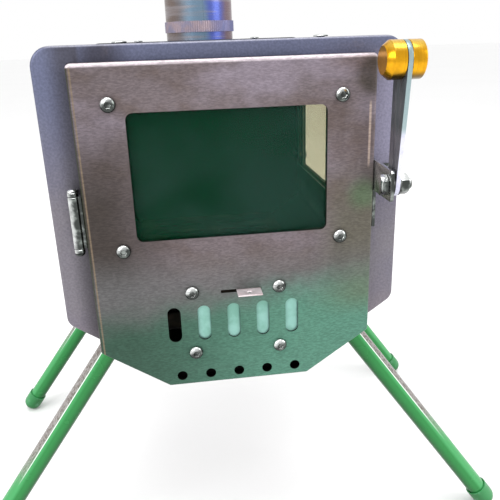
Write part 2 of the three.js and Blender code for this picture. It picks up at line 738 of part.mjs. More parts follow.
// The lever: a flat bar that widens from the pivot's eye to a round disc between the halves of the knob,
// and a nose behind the pivot that slips in beside the keeper.
function makeLever() {
  const x0 = leverX;
  const x1 = leverX + leverThickness;
  const along = Math.atan2(knobRise, -knobLean);
  const widening = Math.asin((leverDiscRadius - leverEyeRadius) / Math.hypot(knobLean, knobRise));
  const quarter = Math.PI / 2 + widening;
  const bar = new THREE.Shape();
  bar.absarc(pivotY, pivotZ, leverEyeRadius, along + quarter, along + 2 * Math.PI - quarter, false);
  bar.absarc(knobY, knobZ, leverDiscRadius, along - quarter, along + quarter, false);
  bar.closePath();
  const noseHalf = noseHeight / 2;
  const nose = roundedRectangle(pivotY, pivotZ - noseHalf, pivotY + noseLength, pivotZ + noseHalf, 1.5);
  const plate = join(plateAlong(bar, x0, x1, 6), plateAlong(nose, x0, x1));
  const holes = [
    rod(boltRadius + runningFit, [x0 - 1, pivotY, pivotZ], [x1 + 1, pivotY, pivotZ], 24),
    rod(knobScrewRadius + gap, [x0 - 1, knobY, knobZ], [x1 + 1, knobY, knobZ], 12),
  ];
  return piece('handle_lever', cut(plate, ...holes), zinc);
}

// A bent leaf on the front panel, beside the lever's nose.
function makeKeeper() {
  const x0 = leverX + leverThickness + keeperClearance;
  const back = panelY - gap;
  const points = [
    [x0, back], [x0, back - keeperReach], [x0 + keeperThickness, back - keeperReach],
    [x0 + keeperThickness, back - keeperThickness], [x0 + keeperFoot, back - keeperThickness],
    [x0 + keeperFoot, back],
  ].map(([x, y]) => new THREE.Vector2(x, y));
  const half = keeperHeight / 2;
  return piece('latch_keeper', plateFlat(new THREE.Shape(points), pivotZ - half, pivotZ + half), chrome);
}

// Two turned halves on either side of the lever, drawn together by one screw from the outer end.
function makeKnob() {
  const bore = knobScrewRadius + gap;
  const headRadius = 5;
  const headDepth = 5;
  const innerEnd = knobRadius - knobEndRim;
  const outerX = leverX + leverThickness + gap;
  const innerX = leverX - gap;
  const blindDepth = knobInnerLength - knobEndWall;
  const inner = [
    [bore, 0], [knobRadius, 0], [knobRadius, knobInnerLength - knobTaper],
    [innerEnd, knobInnerLength], [0, knobInnerLength], [0, blindDepth], [bore, blindDepth], [bore, 0],
  ];
  const outer = [
    [bore, 0], [knobRadius, 0], [knobRadius, knobOuterLength - knobEdge],
    [knobRadius - knobEdge, knobOuterLength],
    [headRadius + gap, knobOuterLength], [headRadius + gap, knobOuterLength - headDepth],
    [bore, knobOuterLength - headDepth], [bore, 0],
  ];
  const seat = outerX + knobOuterLength - headDepth + gap;
  const tip = innerX - blindDepth + 1;
  const screwProfile = [
    [0, tip], [knobScrewRadius, tip], [knobScrewRadius, seat], [headRadius, seat],
    [headRadius, seat + headDepth - 1], [0, seat + headDepth - 1],
  ];
  const left = right.clone().negate();
  return [
    piece('knob_inner', turned(inner, left, [innerX, knobY, knobZ], 24), gold),
    piece('knob_outer', turned(outer, right, [outerX, knobY, knobZ], 24), gold),
    piece('knob_screw', turned(screwProfile, right, [0, knobY, knobZ], 12), chrome),
  ];
}

// ---- Flue pipe ----------------------------------------------------------------------------------

// A rolled pipe: its radius grows by one step over the turn, so the lapped edge shows as a seam.
function makePipe() {
  const sides = 36;
  const seam = -Math.PI / 2 + 0.07;
  const spiral = (radius) => {
    const points = [];
    for (let i = 0; i <= sides; i++) {
      const angle = seam + (2 * Math.PI * i) / sides - (i === sides ? 0.002 : 0);
      const r = radius + (pipeStep * i) / sides;
      points.push(new THREE.Vector2(r * Math.cos(angle), r * Math.sin(angle)));
    }
    return points;
  };
  const section = new THREE.Shape(spiral(pipeRadius));
  section.holes.push(new THREE.Path(spiral(pipeRadius - pipeWall)));
  const wall = plateFlat(section, pipeBottom, pipeBottom + pipeLength).translate([0, flueY, 0]);
  const inner = pipeRadius + pipeStep + gap;
  const ringZ = pipeBottom + ringFromEnd;
  const ring = tube(inner + ringWall, inner, [0, flueY, ringZ], [0, flueY, ringZ + ringHeight], 28);
  return [
    piece('flue_pipe', wall, pipeSteel),
    piece('pipe_ring', ring, pipeSteel),
  ];
}

// ---- Legs ---------------------------------------------------------------------------------------

const legs = [
  { name: 'front_left', side: -1, end: -1 },
  { name: 'front_right', side: 1, end: -1 },
  { name: 'rear_left', side: -1, end: 1 },
  { name: 'rear_right', side: 1, end: 1 },
];

// Each leg is drawn down its own -Z axis from its root, which lies on the middle of the chamfer.
function makeLeg({ name, side, end }) {
  const rootX = (bodyHalfWidth + bodyBottomHalfWidth) / 2;
  const rootZ = (chamferTop + bodyBottom) / 2;
  const rootY = end < 0 ? panelY + legFrontInset : rearY - legRearInset;
  const down = new THREE.Vector3(side * legOutSlope, end * legSplay, -1).normalize();
  const place = new THREE.Group();
  place.position.set(side * rootX, rootY, rootZ);
  place.quaternion.setFromUnitVectors(up.clone().negate(), down);
  place.updateMatrixWorld(true);

  const wallOut = new THREE.Vector3(side * Math.sin(chamferAngle), 0, -Math.cos(chamferAngle));
  const trim = new THREE.BoxGeometry(80, 80, 40).applyQuaternion(
    new THREE.Quaternion().setFromUnitVectors(up.clone().negate(), wallOut));
  trim.translate(...place.position.clone().addScaledVector(wallOut, gap - shellInset - 20).toArray());
  trim.applyMatrix4(place.matrixWorld.clone().invert());
  const bossTop = 12;
  const boss = rod(socketRadius, [0, 0, -socketHeight], [0, 0, bossTop], 20);
  const bore = rod(studRadius + gap, [0, 0, -socketHeight - 1], [0, 0, -socketHeight + studLength + 1], 16);
  const socket = cut(boss, solid(trim), bore);

  const footRadius = legRadius + gap + footWall;
  const tipHeight = footRadius - footFlat;
  const tip = (rootZ - floorZ - tipHeight) / -down.z;
  const legEnd = tip - footWall;
  const shoulder = socketHeight + gap;
  const legProfile = [
    [0, -shoulder + studLength], [studRadius, -shoulder + studLength], [studRadius, -shoulder],
    [legRadius, -shoulder], [legRadius, -legEnd], [legRadius - legWall, -legEnd],
    [legRadius - legWall, -shoulder - 6], [0, -shoulder - 6],
  ];
  const leg = turned(legProfile, up, [0, 0, 0], 16);

  const bottomArc = [0.3, 0.6, 0.85].map((turn) => {
    const angle = (turn * Math.PI) / 2;
    return [footRadius * Math.cos(angle), -tip - footRadius * Math.sin(angle)];
  });
  const inside = -legEnd - gap;
  const footProfile = [
    [0, inside], [legRadius + gap, inside], [legRadius + gap, inside + footGrip],
    [footRadius, inside + footGrip], [footRadius, -tip], ...bottomArc, [0, -tip - footRadius],
  ];
  const { x, y } = place.position;
  const footX = x + side * legOutSlope * (rootZ - floorZ);
  const floor = new THREE.BoxGeometry(200, 200, 40).translate(footX, y, floorZ - 20);
  floor.applyMatrix4(place.matrixWorld.clone().invert());
  const foot = cut(turned(footProfile, up, [0, 0, 0], 16), solid(floor));

  place.add(
    piece(`leg_socket_${name}`, socket, chrome),
    piece(`leg_${name}`, leg, legSteel),
    piece(`foot_${name}`, foot, rubber),
  );
  return place;
}

// ---- Assembly -----------------------------------------------------------------------------------

const hinge = makeHinge();
const stove = new THREE.Group();
stove.add(
  makeFrontPanel(), makeShell(), makeRearPanel(), makeCollar(), makeGrate(),
  ...screws('front_panel_screw', frontScrewSeats, up, panelScrewLength, panelHeadHeight),
  ...screws('rear_panel_screw', rearScrewSeats, up, panelScrewLength, panelHeadHeight),
  ...makeSideWindow(), ...hinge.knuckles, hinge.pin, makeKeeper(),
  makeDoorPanel(), ...makeDoorWindow(), ...makeDamperStraps(), makeDamper(), hinge.leaf,
  makeBracket(), ...makePivot(), makeLever(), ...makeKnob(),
  ...makePipe(), ...legs.map(makeLeg),
);

// The origin is the middle of the model's footprint, on the floor.
const frontMost = knobY - knobRadius;
stove.position.set(0, -(frontMost + rearY) / 2, -floorZ);

export default stove;
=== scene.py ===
"""A tent wood stove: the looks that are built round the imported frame.

Sizes are in millimetres from the middle of the top of the door's face, with Y into the firebox, as
on a drawing of the stove. point() turns them into metres in the frame, with the floor at Z = 0.
"""

import math

import bpy
from mathutils import Matrix, Vector


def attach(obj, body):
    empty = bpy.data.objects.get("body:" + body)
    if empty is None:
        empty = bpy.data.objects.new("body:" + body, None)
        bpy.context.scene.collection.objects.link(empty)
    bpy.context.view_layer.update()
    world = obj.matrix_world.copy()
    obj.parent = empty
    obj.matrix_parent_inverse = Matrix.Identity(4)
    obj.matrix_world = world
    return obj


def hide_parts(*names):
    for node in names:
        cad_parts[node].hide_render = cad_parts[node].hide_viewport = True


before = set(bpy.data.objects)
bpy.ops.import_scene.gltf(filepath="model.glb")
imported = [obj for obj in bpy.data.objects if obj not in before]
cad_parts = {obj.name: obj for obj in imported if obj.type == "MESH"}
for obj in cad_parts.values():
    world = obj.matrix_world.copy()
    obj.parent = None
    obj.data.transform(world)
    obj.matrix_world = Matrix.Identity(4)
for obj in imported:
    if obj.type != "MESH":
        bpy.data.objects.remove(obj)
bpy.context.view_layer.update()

# ---- Sizes, in millimetres ----------------------------------------------------------------------

GAP = 0.3
RUNNING_FIT = 0.1
SHEET = 1.5
BEND = 2.0
DOOR_TO_MIDDLE = 160.5         # from the door's face to the middle of the footprint
FLOOR = -444.0
JUST_ABOVE_FLOOR = 1e-5        # in metres, where the feet are cut flat

BODY_TOP = 13.2
BODY_CORNERS = [(-54.307, -243), (54.307, -243), (130, -190), (130, BODY_TOP), (-130, BODY_TOP),
                (-130, -190)]
BODY_RADII = [10, 10, 10, 14, 14, 10]
PANEL_Y = 14.4
REAR_Y = 364.4
CAP_DEPTH = 20
PANEL_SCREW_X = 70.6
PANEL_SCREW_SETBACK = 10.6
SCREW_HOLE = 3.3
THROUGH_DOOR = (-3, 5)         # how far a cutter reaches, from one side of a sheet to the other
THROUGH_TOP = (0, 20)
THROUGH_SIDE = (120, 140)
DOOR_CORNERS = [(-55.4, -244.5), (55.4, -244.5), (105.5, -210.4), (105.5, 2), (-105.5, 2),
                (-105.5, -210.4)]
DOOR_RADIUS = 3.5
DOOR_DEPTH = 14
DOORWAY_INSET = 12
CHAMFER_ANGLE = math.radians(35)

WINDOW = (-70, -122.6, 70, -31)
WINDOW_RADIUS = 5
GLASS_MARGIN = 5
DOOR_GLASS_Y = (3.1, 7.1)
WINDOW_SCREWS = [(x, z) for x in (-80.4, 80.4) for z in (-24.9, -128.7)]
DAMPER_SCREWS = [(x, z) for x in (-33.3, 33.3) for z in (-165.6, -216.3)]
SLOT_XS = [-2.5 + (i - 2) * 22.8 for i in range(5)]
SLOT_Z = -191.4
SLOT_SIZE = (10, 29)
AIR_HOLE_XS = [(i - 2) * 22.6 for i in range(5)]
AIR_HOLE_Z = -236
AIR_HOLE_RADIUS = 4
DAMPER_Y = (1.8, 3.0)
DAMPER_TRAVEL = 11.4
TAB = (0.5, 19.0, -166.6)
TAB_REACH = 12

SIDE_WINDOW = (55.4, -140, 323.4, -48)      # low Y, low Z, high Y, high Z
SIDE_GLASS_X = (121.1, 125.1)
SIDE_SCREWS = [(y, z) for y in (45.4, 333.4) for z in (-58, -130)]
SIDE_FRAME_FACE = 128.2

FLUE_Y = 288
PIPE_BOTTOM = 13.5
PIPE_RADIUS = 36
COLLAR_BORE = 33.2
PIPE_LENGTH = 250

HINGE = (-111.5, 4)
BARREL = (-125.1, -86.9)
BARREL_RADIUS = 3.8
PIN_RADIUS = 2.2
KNUCKLE_HIGH = 3
PIVOT = (-25, -85)
KNOB = (-31, -2)
LEVER_X = (109.7, 112.7)
BOLT_HOLE = 4.3
LEG_ROOT = (92.153, -216.5)
LEG_ROOT_Y = {"front": 62, "rear": 278.4}
LEG_SLOPE = (0.72, 0.1)
LEG_RADIUS = 9
LEG_WALL = 1.2
FOOT_WALL = 1.15
FOOT_DEPTH = 13


def point(x, y, z):
    """A place on the drawing, in metres in the frame."""
    return Vector((x, y - DOOR_TO_MIDDLE, z - FLOOR)) / 1000


# ---- Outlines -----------------------------------------------------------------------------------

def inset_corners(corners, distance):
    """The corners of a convex outline, listed anticlockwise, moved inwards by one distance."""
    edges = []
    for (x, y), (nx, ny) in zip(corners, corners[1:] + corners[:1]):
        length = math.hypot(nx - x, ny - y)
        dx, dy = (nx - x) / length, (ny - y) / length
        edges.append((x - dy * distance, y + dx * distance, dx, dy))
    moved = []
    for before, after in zip(edges[-1:] + edges[:-1], edges):
        across = before[2] * after[3] - before[3] * after[2]
        t = ((after[0] - before[0]) * after[3] - (after[1] - before[1]) * after[2]) / across
        moved.append((before[0] + before[2] * t, before[1] + before[3] * t))
    return moved


def rounded(corners, radii, inset=0.0, steps=8):
    """A convex outline with each corner rounded by its own radius, less the inset."""
    moved = inset_corners(corners, inset)
    points = []
    for i, (x, y) in enumerate(moved):
        radius = max(radii[i] - inset, 0.05)
        px, py = moved[i - 1]
        nx, ny = moved[(i + 1) % len(moved)]
        into = math.atan2(y - py, x - px)
        turn = (math.atan2(ny - y, nx - x) - into) % (2 * math.pi)
        back = radius * math.tan(turn / 2)
        cx = x - math.cos(into) * back - math.sin(into) * radius
        cy = y - math.sin(into) * back + math.cos(into) * radius
        for step in range(steps + 1):
            angle = into - math.pi / 2 + turn * step / steps
            points.append((cx + radius * math.cos(angle), cy + radius * math.sin(angle)))
    return points


def rounded_box(left, low, right, high, radius, steps=8):
    corners = [(left, low), (right, low), (right, high), (left, high)]
    return rounded(corners, [radius] * 4, steps=steps)


def ring_of(x, y, radius, count, turn=0.0):
    angles = [turn + 2 * math.pi * i / count for i in range(count)]
    return [(x + radius * math.cos(a), y + radius * math.sin(a)) for a in angles]


# ---- Modelling ----------------------------------------------------------------------------------

# How an outline drawn flat is laid in the stove: across it, along its side, or level.
ACROSS = lambda u, v, w: point(u, w, v)
ALONG = lambda u, v, w: point(w, u, v)
LEVEL = lambda u, v, w: point(u, v, w)
LOOSE = lambda u, v, w: Vector((u, v, w)) / 1000


def deselect():
    bpy.ops.object.select_all(action="DESELECT")


def pick(piece):
    deselect()
    piece.select_set(True)
    bpy.context.view_layer.objects.active = piece


def traced(name, points, closed):
    """A chain of edges through the points, made by extruding one corner from place to place."""
    deselect()
    bpy.ops.mesh.primitive_plane_add(size=0.001, location=points[0])
    piece = bpy.context.object
    piece.name = piece.data.name = name
    bpy.ops.object.transform_apply(location=True, rotation=True, scale=True)
    bpy.ops.object.mode_set(mode="EDIT")
    bpy.ops.mesh.select_all(action="SELECT")
    bpy.ops.mesh.merge(type="CENTER")
    for here, there in zip(points, points[1:]):
        bpy.ops.mesh.extrude_vertices_move(TRANSFORM_OT_translate={"value": there - here})
    bpy.ops.mesh.select_all(action="SELECT")
    if closed:
        bpy.ops.mesh.edge_face_add()
    return piece


def choose_faces(piece, wanted):
    """Leaves only those faces selected, in edit mode."""
    bpy.ops.mesh.select_mode(type="FACE")
    bpy.ops.mesh.select_all(action="DESELECT")
    bpy.ops.object.mode_set(mode="OBJECT")
    for face in piece.data.polygons:
        face.select = wanted(face)
    bpy.ops.object.mode_set(mode="EDIT")


def finish_shape(piece):
    bpy.ops.mesh.select_mode(type="VERT")
    bpy.ops.mesh.select_all(action="SELECT")
    bpy.ops.mesh.remove_doubles(threshold=1e-6)
    bpy.ops.mesh.normals_make_consistent(inside=False)
    bpy.ops.object.mode_set(mode="OBJECT")
    return piece


def plate(name, outline, laid, start, end, inset=0.0):
    """An outline given a thickness; with an inset it is a ring or a tube of that wall."""
    piece = traced(name, [laid(u, v, start) for u, v in outline], closed=True)
    if inset:
        bpy.ops.mesh.select_all(action="SELECT")
        bpy.ops.mesh.inset(thickness=inset / 1000, use_boundary=True)
        bpy.ops.mesh.delete(type="ONLY_FACE")
        bpy.ops.mesh.select_all(action="SELECT")
    travel = laid(0, 0, end) - laid(0, 0, start)
    bpy.ops.mesh.extrude_region_move(TRANSFORM_OT_translate={"value": travel})
    return finish_shape(piece)


def spun(name, profile, steps=64):
    """A profile of radius and height, in millimetres, turned round the Z axis."""
    piece = traced(name, [Vector((r, 0, h)) / 1000 for r, h in profile], closed=False)
    bpy.ops.mesh.spin(steps=steps, angle=2 * math.pi, center=(0, 0, 0), axis=(0, 0, 1))
    return finish_shape(piece)


def lay(piece, along, at):
    """Turns a piece made about the Z axis onto a direction, and moves its origin to a place."""
    pick(piece)
    piece.rotation_mode = "QUATERNION"
    piece.rotation_quaternion = Vector((0, 0, 1)).rotation_difference(Vector(along).normalized())
    piece.location = at
    bpy.ops.object.transform_apply(location=True, rotation=True, scale=True)
    return piece


def apply_modifier(piece, kind, **settings):
    pick(piece)
    modifier = piece.modifiers.new(kind.title(), kind)
    for key, value in settings.items():
        setattr(modifier, key, value)
    bpy.ops.object.modifier_apply(modifier=modifier.name)


def cut(piece, *cutters):
    for cutter in cutters:
        apply_modifier(piece, "BOOLEAN", operation="DIFFERENCE", object=cutter, solver="EXACT")
        bpy.data.objects.remove(cutter)
    return piece


def combine(piece, other, operation="UNION"):
    apply_modifier(piece, "BOOLEAN", operation=operation, object=other, solver="EXACT")
    bpy.data.objects.remove(other)
    return piece


def soften(piece, width, segments=2, angle=40):
    apply_modifier(piece, "BEVEL", width=width / 1000, segments=segments, limit_method="ANGLE",
                   angle_limit=math.radians(angle), use_clamp_overlap=True)
    return piece


def smooth(piece, angle=35):
    pick(piece)
    bpy.ops.object.shade_smooth_by_angle(angle=math.radians(angle))
    return piece


def bisect(piece, through, normal):
    """Cuts off what lies behind a plane and closes the cut."""
    pick(piece)
    bpy.ops.object.mode_set(mode="EDIT")
    bpy.ops.mesh.select_all(action="SELECT")
    bpy.ops.mesh.bisect(plane_co=through, plane_no=normal, use_fill=True, clear_inner=True,
                        threshold=1e-6)
    return finish_shape(piece)


def copy_of(piece, name):
    twin = piece.copy()
    twin.data = piece.data.copy()
    twin.name = twin.data.name = name
    bpy.context.scene.collection.objects.link(twin)
    return twin


def round_cutter(u, v, radius, laid, start, end, count=40):
    return plate("cutter", ring_of(u, v, radius, count), laid, start, end)


def chamfered_ring(name, bore, radius, high, edge, steps=64):
    """A sleeve or a washer about the Z axis, on the origin, with both outer rims broken."""
    profile = [(bore, 0), (radius - edge, 0), (radius, edge), (radius, high - edge),
               (radius - edge, high), (bore, high), (bore, 0)]
    return spun(name, profile, steps)


# ---- Finishes -----------------------------------------------------------------------------------

class Wire:
    """A socket that can be used in sums; each sum adds its Math node."""

    def __init__(self, finish, socket):
        self.finish = finish
        self.socket = socket

    def maths(self, operation, first, second):
        return self.finish.node("ShaderNodeMath", {"operation": operation}, {0: first, 1: second})

    def __add__(self, other):
        return self.maths("ADD", self, other)

    __radd__ = __add__

    def __sub__(self, other):
        return self.maths("SUBTRACT", self, other)

    def __rsub__(self, other):
        return self.maths("SUBTRACT", other, self)

    def __mul__(self, other):
        return self.maths("MULTIPLY", self, other)

    __rmul__ = __mul__

    def most(self, other):
        return self.maths("MAXIMUM", self, other)


class Finish:
    """A material of this stove, with one method for every other node."""

    def __init__(self, name, metallic=0.0, roughness=0.5, **uniform):
        self.material = bpy.data.materials.new(name)
        self.material.use_nodes = True
        self.tree = self.material.node_tree
        self.shader = self.tree.nodes["Principled BSDF"]
        self.shader.inputs["Metallic"].default_value = metallic
        self.shader.inputs["Roughness"].default_value = roughness
        for key, value in uniform.items():
            self.shader.inputs[key.replace("_", " ")].default_value = value
        place = self.tree.nodes.new("ShaderNodeTexCoord")
        self.place = Wire(self, place.outputs["Object"])
        self.facing = Wire(self, place.outputs["Normal"])
        parts = self.tree.nodes.new("ShaderNodeSeparateXYZ")
        self.tree.links.new(place.outputs["Object"], parts.inputs[0])
        self.x, self.y, self.z = (Wire(self, parts.outputs[i]) for i in range(3))

    def node(self, kind, settings=None, values=None, output=0):
        made = self.tree.nodes.new(kind)
        for key, value in (settings or {}).items():
            setattr(made, key, value)
        for key, value in (values or {}).items():
            self.plug(made.inputs[key], value)
        return Wire(self, made.outputs[output])

    def plug(self, socket, value):
        if isinstance(value, Wire):
            self.tree.links.new(value.socket, socket)
        else:
            socket.default_value = value

    def noise(self, across, down=None, deep=None, detail=3.0, roughness=0.55, shift=0.0):
        """Noise whose grains are about that many millimetres along X, Z and Y."""
        down = down or across
        deep = deep or across
        scale = (1000 / across, 1000 / deep, 1000 / down)
        stretched = self.node("ShaderNodeMapping", {}, {"Vector": self.place, "Scale": scale,
                                                        "Location": (shift, shift * 2, shift * 3)})
        return self.node("ShaderNodeTexNoise", {}, {"Vector": stretched, "Scale": 1.0,
                                                    "Detail": detail, "Roughness": roughness})

    def band(self, value, low, high, to_low=0.0, to_high=1.0):
        """Goes smoothly from one value to another while value goes from low to high."""
        return self.node("ShaderNodeMapRange", {"interpolation_type": "SMOOTHSTEP"},
                         {"Value": value, "From Min": low, "From Max": high,
                          "To Min": to_low, "To Max": to_high})

    def mix(self, first, second, factor, blend="MIX"):
        """A Mix node for colours, which takes them at its inputs 6 and 7."""
        made = self.tree.nodes.new("ShaderNodeMix")
        made.data_type = "RGBA"
        made.blend_type = blend
        self.plug(made.inputs[0], factor)
        self.plug(made.inputs[6], first)
        self.plug(made.inputs[7], second)
        return Wire(self, made.outputs[2])

    def vector(self, operation, first, second, output=1):
        """A Vector Math node; its output 0 is a vector and its output 1 a number."""
        return self.node("ShaderNodeVectorMath", {"operation": operation},
                         {0: first, 1: second}, output)

    def by_width(self, low, high, to_low=0.0, to_high=1.0):
        """A band across the stove, between two places on the drawing in millimetres."""
        return self.band(self.x, low / 1000, high / 1000, to_low, to_high)

    def by_depth(self, low, high, to_low=0.0, to_high=1.0):
        return self.band(self.y, depth(low), depth(high), to_low, to_high)

    def by_height(self, low, high, to_low=0.0, to_high=1.0):
        return self.band(self.z, height(low), height(high), to_low, to_high)

    def far_from(self, x, y, z):
        """The distance from a place on the drawing, in metres."""
        return self.vector("DISTANCE", self.place, tuple(point(x, y, z)))

    def towards(self, *direction):
        """One where the surface looks along a direction, minus one where it looks away from it."""
        aim = tuple(Vector(direction).normalized())
        return self.vector("DOT_PRODUCT", self.facing, aim)

    def hidden(self, x, y, z):
        """One on the surfaces that look at a place inside the stove, nothing on the outside."""
        away = self.vector("SUBTRACT", self.place, tuple(point(x, y, z)), output=0)
        return self.band(self.vector("DOT_PRODUCT", away, self.facing), -0.002, 0.0, 1, 0)

    def speckled(self, colour, grain, low, high):
        """A colour made lighter and darker by the grain, between two factors."""
        speck = self.band(grain, 0.30, 0.72, low, high)
        factor = self.node("ShaderNodeCombineColor", {}, {0: speck, 1: speck, 2: speck})
        return self.mix(colour, factor, 1.0, "MULTIPLY")

    def bump(self, height, distance, strength=1.0):
        return self.node("ShaderNodeBump", {}, {"Height": height, "Distance": distance / 1000,
                                                "Strength": strength})

    def give(self, **values):
        for key, value in values.items():
            self.plug(self.shader.inputs[key.replace("_", " ")], value)
        return self


def height(z):
    """A height on the drawing, in metres in the frame."""
    return (z - FLOOR) / 1000


def depth(y):
    """A depth on the drawing, in metres in the frame."""
    return (y - DOOR_TO_MIDDLE) / 1000


def door_finish():
    steel = Finish("door_steel", metallic=0.5, roughness=0.42, Specular_IOR_Level=0.3)
    brush = steel.noise(26, 0.5, 26, detail=4)
    grain = steel.noise(2.6, 0.8, 2.6, detail=3, shift=3.1)
    cloud = steel.noise(34, 26, 30, detail=4, shift=7.7)
    patch = steel.noise(70, 42, 60, detail=3, shift=1.3)
    mauve = steel.mix((0.150, 0.122, 0.130, 1), (0.118, 0.090, 0.086, 1),
                      steel.band(cloud, 0.38, 0.62))
    # Lighter lilac patches, strongest towards the top: painted light on the mottled steel.
    lilac = steel.band(patch + cloud * 0.3, 0.55, 0.80) * steel.by_height(-110, -10, 0.25, 1)
    warm = steel.mix(mauve, (0.225, 0.190, 0.225, 1), lilac)
    # Painted shade over the left of the upper part.
    painted_shade_left = steel.by_width(-95, -20, 1, 0) * steel.by_height(-100, -20, 0.95, 0.15)
    warm = steel.mix(warm, (0.040, 0.032, 0.028, 1), painted_shade_left)
    umber = steel.by_width(55, 85) * steel.by_height(-120, -60, 0.75, 0)
    warm = steel.mix(warm, (0.088, 0.086, 0.058, 1), umber)
    warm = steel.mix(warm, (0.112, 0.112, 0.114, 1), steel.by_height(-165, -125, 0.8, 0))
    # The green is darker towards the left: painted shade.
    green = steel.mix((0.030, 0.070, 0.048, 1), (0.078, 0.196, 0.142, 1),
                      steel.band(steel.x + cloud * 0.03, -0.075, 0.070))
    olive = steel.by_width(50, 100) * steel.by_height(-200, -175, 0, 0.75)
    green = steel.mix(green, (0.105, 0.135, 0.088, 1), olive)
    start = steel.z - steel.x * 0.12 + cloud * 0.03
    low = steel.band(start, height(-178), height(-138), 1, 0)
    # Mauve above and green below; the painted shade and highlights that follow are added into this
    # colour.
    door_colour_and_painted_light = steel.mix(warm, green, low)
    # A soft green patch on the face beside the pivot bolt.
    green_patch_distance = steel.far_from(98, 0, -98) + cloud * 0.01
    door_colour_and_painted_light = steel.mix(door_colour_and_painted_light, (0.080, 0.135, 0.070, 1), steel.band(green_patch_distance, 0.008, 0.022, 0.7, 0))
    # Painted shadow and reflection of the knob, at the top right.
    shade = steel.far_from(104, 0, -13)
    door_colour_and_painted_light = steel.mix(door_colour_and_painted_light, (0.050, 0.042, 0.032, 1), steel.band(shade, 0.009, 0.017, 0.7, 0))
    face = steel.by_depth(0.2, 1.2, 1, 0)
    # Painted shade along the left bend, with a painted highlight just inside it.
    left_bend_shade = steel.by_width(-104.6, -103.6, 1, 0)
    door_colour_and_painted_light = steel.mix(door_colour_and_painted_light, (0.030, 0.034, 0.020, 1), left_bend_shade * 0.85)
    tan = steel.by_width(-103.6, -103) * steel.by_width(-102.6, -101.8, 1, 0)
    door_colour_and_painted_light = steel.mix(door_colour_and_painted_light, (0.200, 0.150, 0.100, 1), tan * face * 0.7)
    # A painted highlight stripe near the right edge.
    glint = steel.by_width(99.8, 100.6) * steel.by_width(101.4, 102.2, 1, 0)
    glint = glint * steel.by_height(-80, -70) * steel.by_height(-34, -28, 1, 0)
    door_colour_and_painted_light = steel.mix(door_colour_and_painted_light, (0.520, 0.400, 0.330, 1), glint * 0.7)
    # A painted highlight along the top bend.
    rim = steel.by_height(-1.2, 0.4) * steel.by_depth(1.5, 2.5, 1, 0)
    door_colour_and_painted_light = steel.mix(door_colour_and_painted_light, (0.66, 0.58, 0.62, 1), rim * steel.band(cloud, 0.35, 0.55, 0.6, 1))
    # Painted shade: the inside faces of the door, and the hem seen through the air holes, are made
    # near-black.
    hem = steel.by_width(-53.5, -53) * steel.by_width(53, 53.5, 1, 0)
    hem = hem * steel.by_depth(3, 4) * steel.by_height(-243.7, -243.3)
    door_colour_and_painted_light = steel.mix(door_colour_and_painted_light, (0.010, 0.011, 0.009, 1), steel.hidden(0, 40, -120).most(hem))
    worn = brush * 0.18 + cloud * 0.10 + 0.28
    return steel.give(Base_Color=steel.speckled(door_colour_and_painted_light, grain, 0.80, 1.18), Roughness=worn,
                      Normal=steel.bump(brush + grain * 0.5, 0.04, 0.5))


def body_finish():
    steel = Finish("body_steel", metallic=0.5, roughness=0.42, Specular_IOR_Level=0.3)
    brush = steel.noise(0.6, 30, 30, detail=4)
    grain = steel.noise(1.6, detail=2, shift=5.2)
    cloud = steel.noise(45, 60, 60, detail=4, shift=2.2)
    pale = steel.mix((0.150, 0.140, 0.180, 1), (0.175, 0.162, 0.185, 1),
                     steel.band(cloud, 0.36, 0.64))
    blue = steel.mix(pale, (0.118, 0.132, 0.215, 1), steel.by_height(-110, -5, 0, 0.9))
    mauve = steel.mix(blue, (0.205, 0.170, 0.185, 1), steel.by_height(-240, -160, 0.9, 0))
    # A darker patch on the panel at the top left.
    dark_patch_distance = steel.far_from(-84, PANEL_Y, 6)
    dark_patch = steel.band(dark_patch_distance + cloud * 0.012, 0.010, 0.030, 0.75, 0)
    dark = steel.mix(mauve, (0.032, 0.028, 0.036, 1), dark_patch)
    # Painted shade: a dark band on the panel beside the door's left edge.
    shade_beside_door = steel.by_width(-123.5, -108, 0, 0.7) * steel.by_depth(17, 22, 1, 0)
    dark = steel.mix(dark, (0.046, 0.042, 0.048, 1), shade_beside_door * steel.by_width(-100, -96, 1, 0))
    # Brownish patches towards the top; the painted highlights below are added into this colour.
    brown_patches_and_painted_light = steel.mix(dark, (0.190, 0.145, 0.120, 1),
                     steel.band(cloud, 0.58, 0.72, 0, 0.45) * steel.by_height(-60, 10))
    # A painted highlight along the panel's top bend.
    top_lip_highlight = steel.by_height(11.6, 12.8) * steel.by_depth(16.5, 18, 1, 0)
    brown_patches_and_painted_light = steel.mix(brown_patches_and_painted_light, (0.330, 0.330, 0.390, 1), top_lip_highlight * 0.7)
    bright = steel.by_width(107, 108.5) * steel.by_height(-110, -60, 0, 0.8)
    brown_patches_and_painted_light = steel.mix(brown_patches_and_painted_light, (0.270, 0.255, 0.350, 1), bright * steel.by_height(-4, 6, 1, 0))
    # Painted shade: the inside of the stove and the strip of panel behind the door are made
    # near-black.
    inside_painted_shade = steel.mix((0.002, 0.006, 0.004, 1), (0.006, 0.011, 0.008, 1),
                     steel.band(cloud, 0.4, 0.6))
    behind = steel.by_width(-106.5, -105.5) * steel.by_width(106.5, 107.5, 1, 0)
    behind = behind * steel.by_height(1, 2.5, 1, 0) * steel.by_depth(17, 18, 1, 0)
    colour = steel.mix(brown_patches_and_painted_light, inside_painted_shade, steel.hidden(0, 190, -110).most(behind))
    worn = brush * 0.15 + cloud * 0.15 + 0.27
    return steel.give(Base_Color=steel.speckled(colour, grain, 0.86, 1.12), Roughness=worn,
                      Normal=steel.bump(brush + grain * 0.5, 0.04, 0.45))


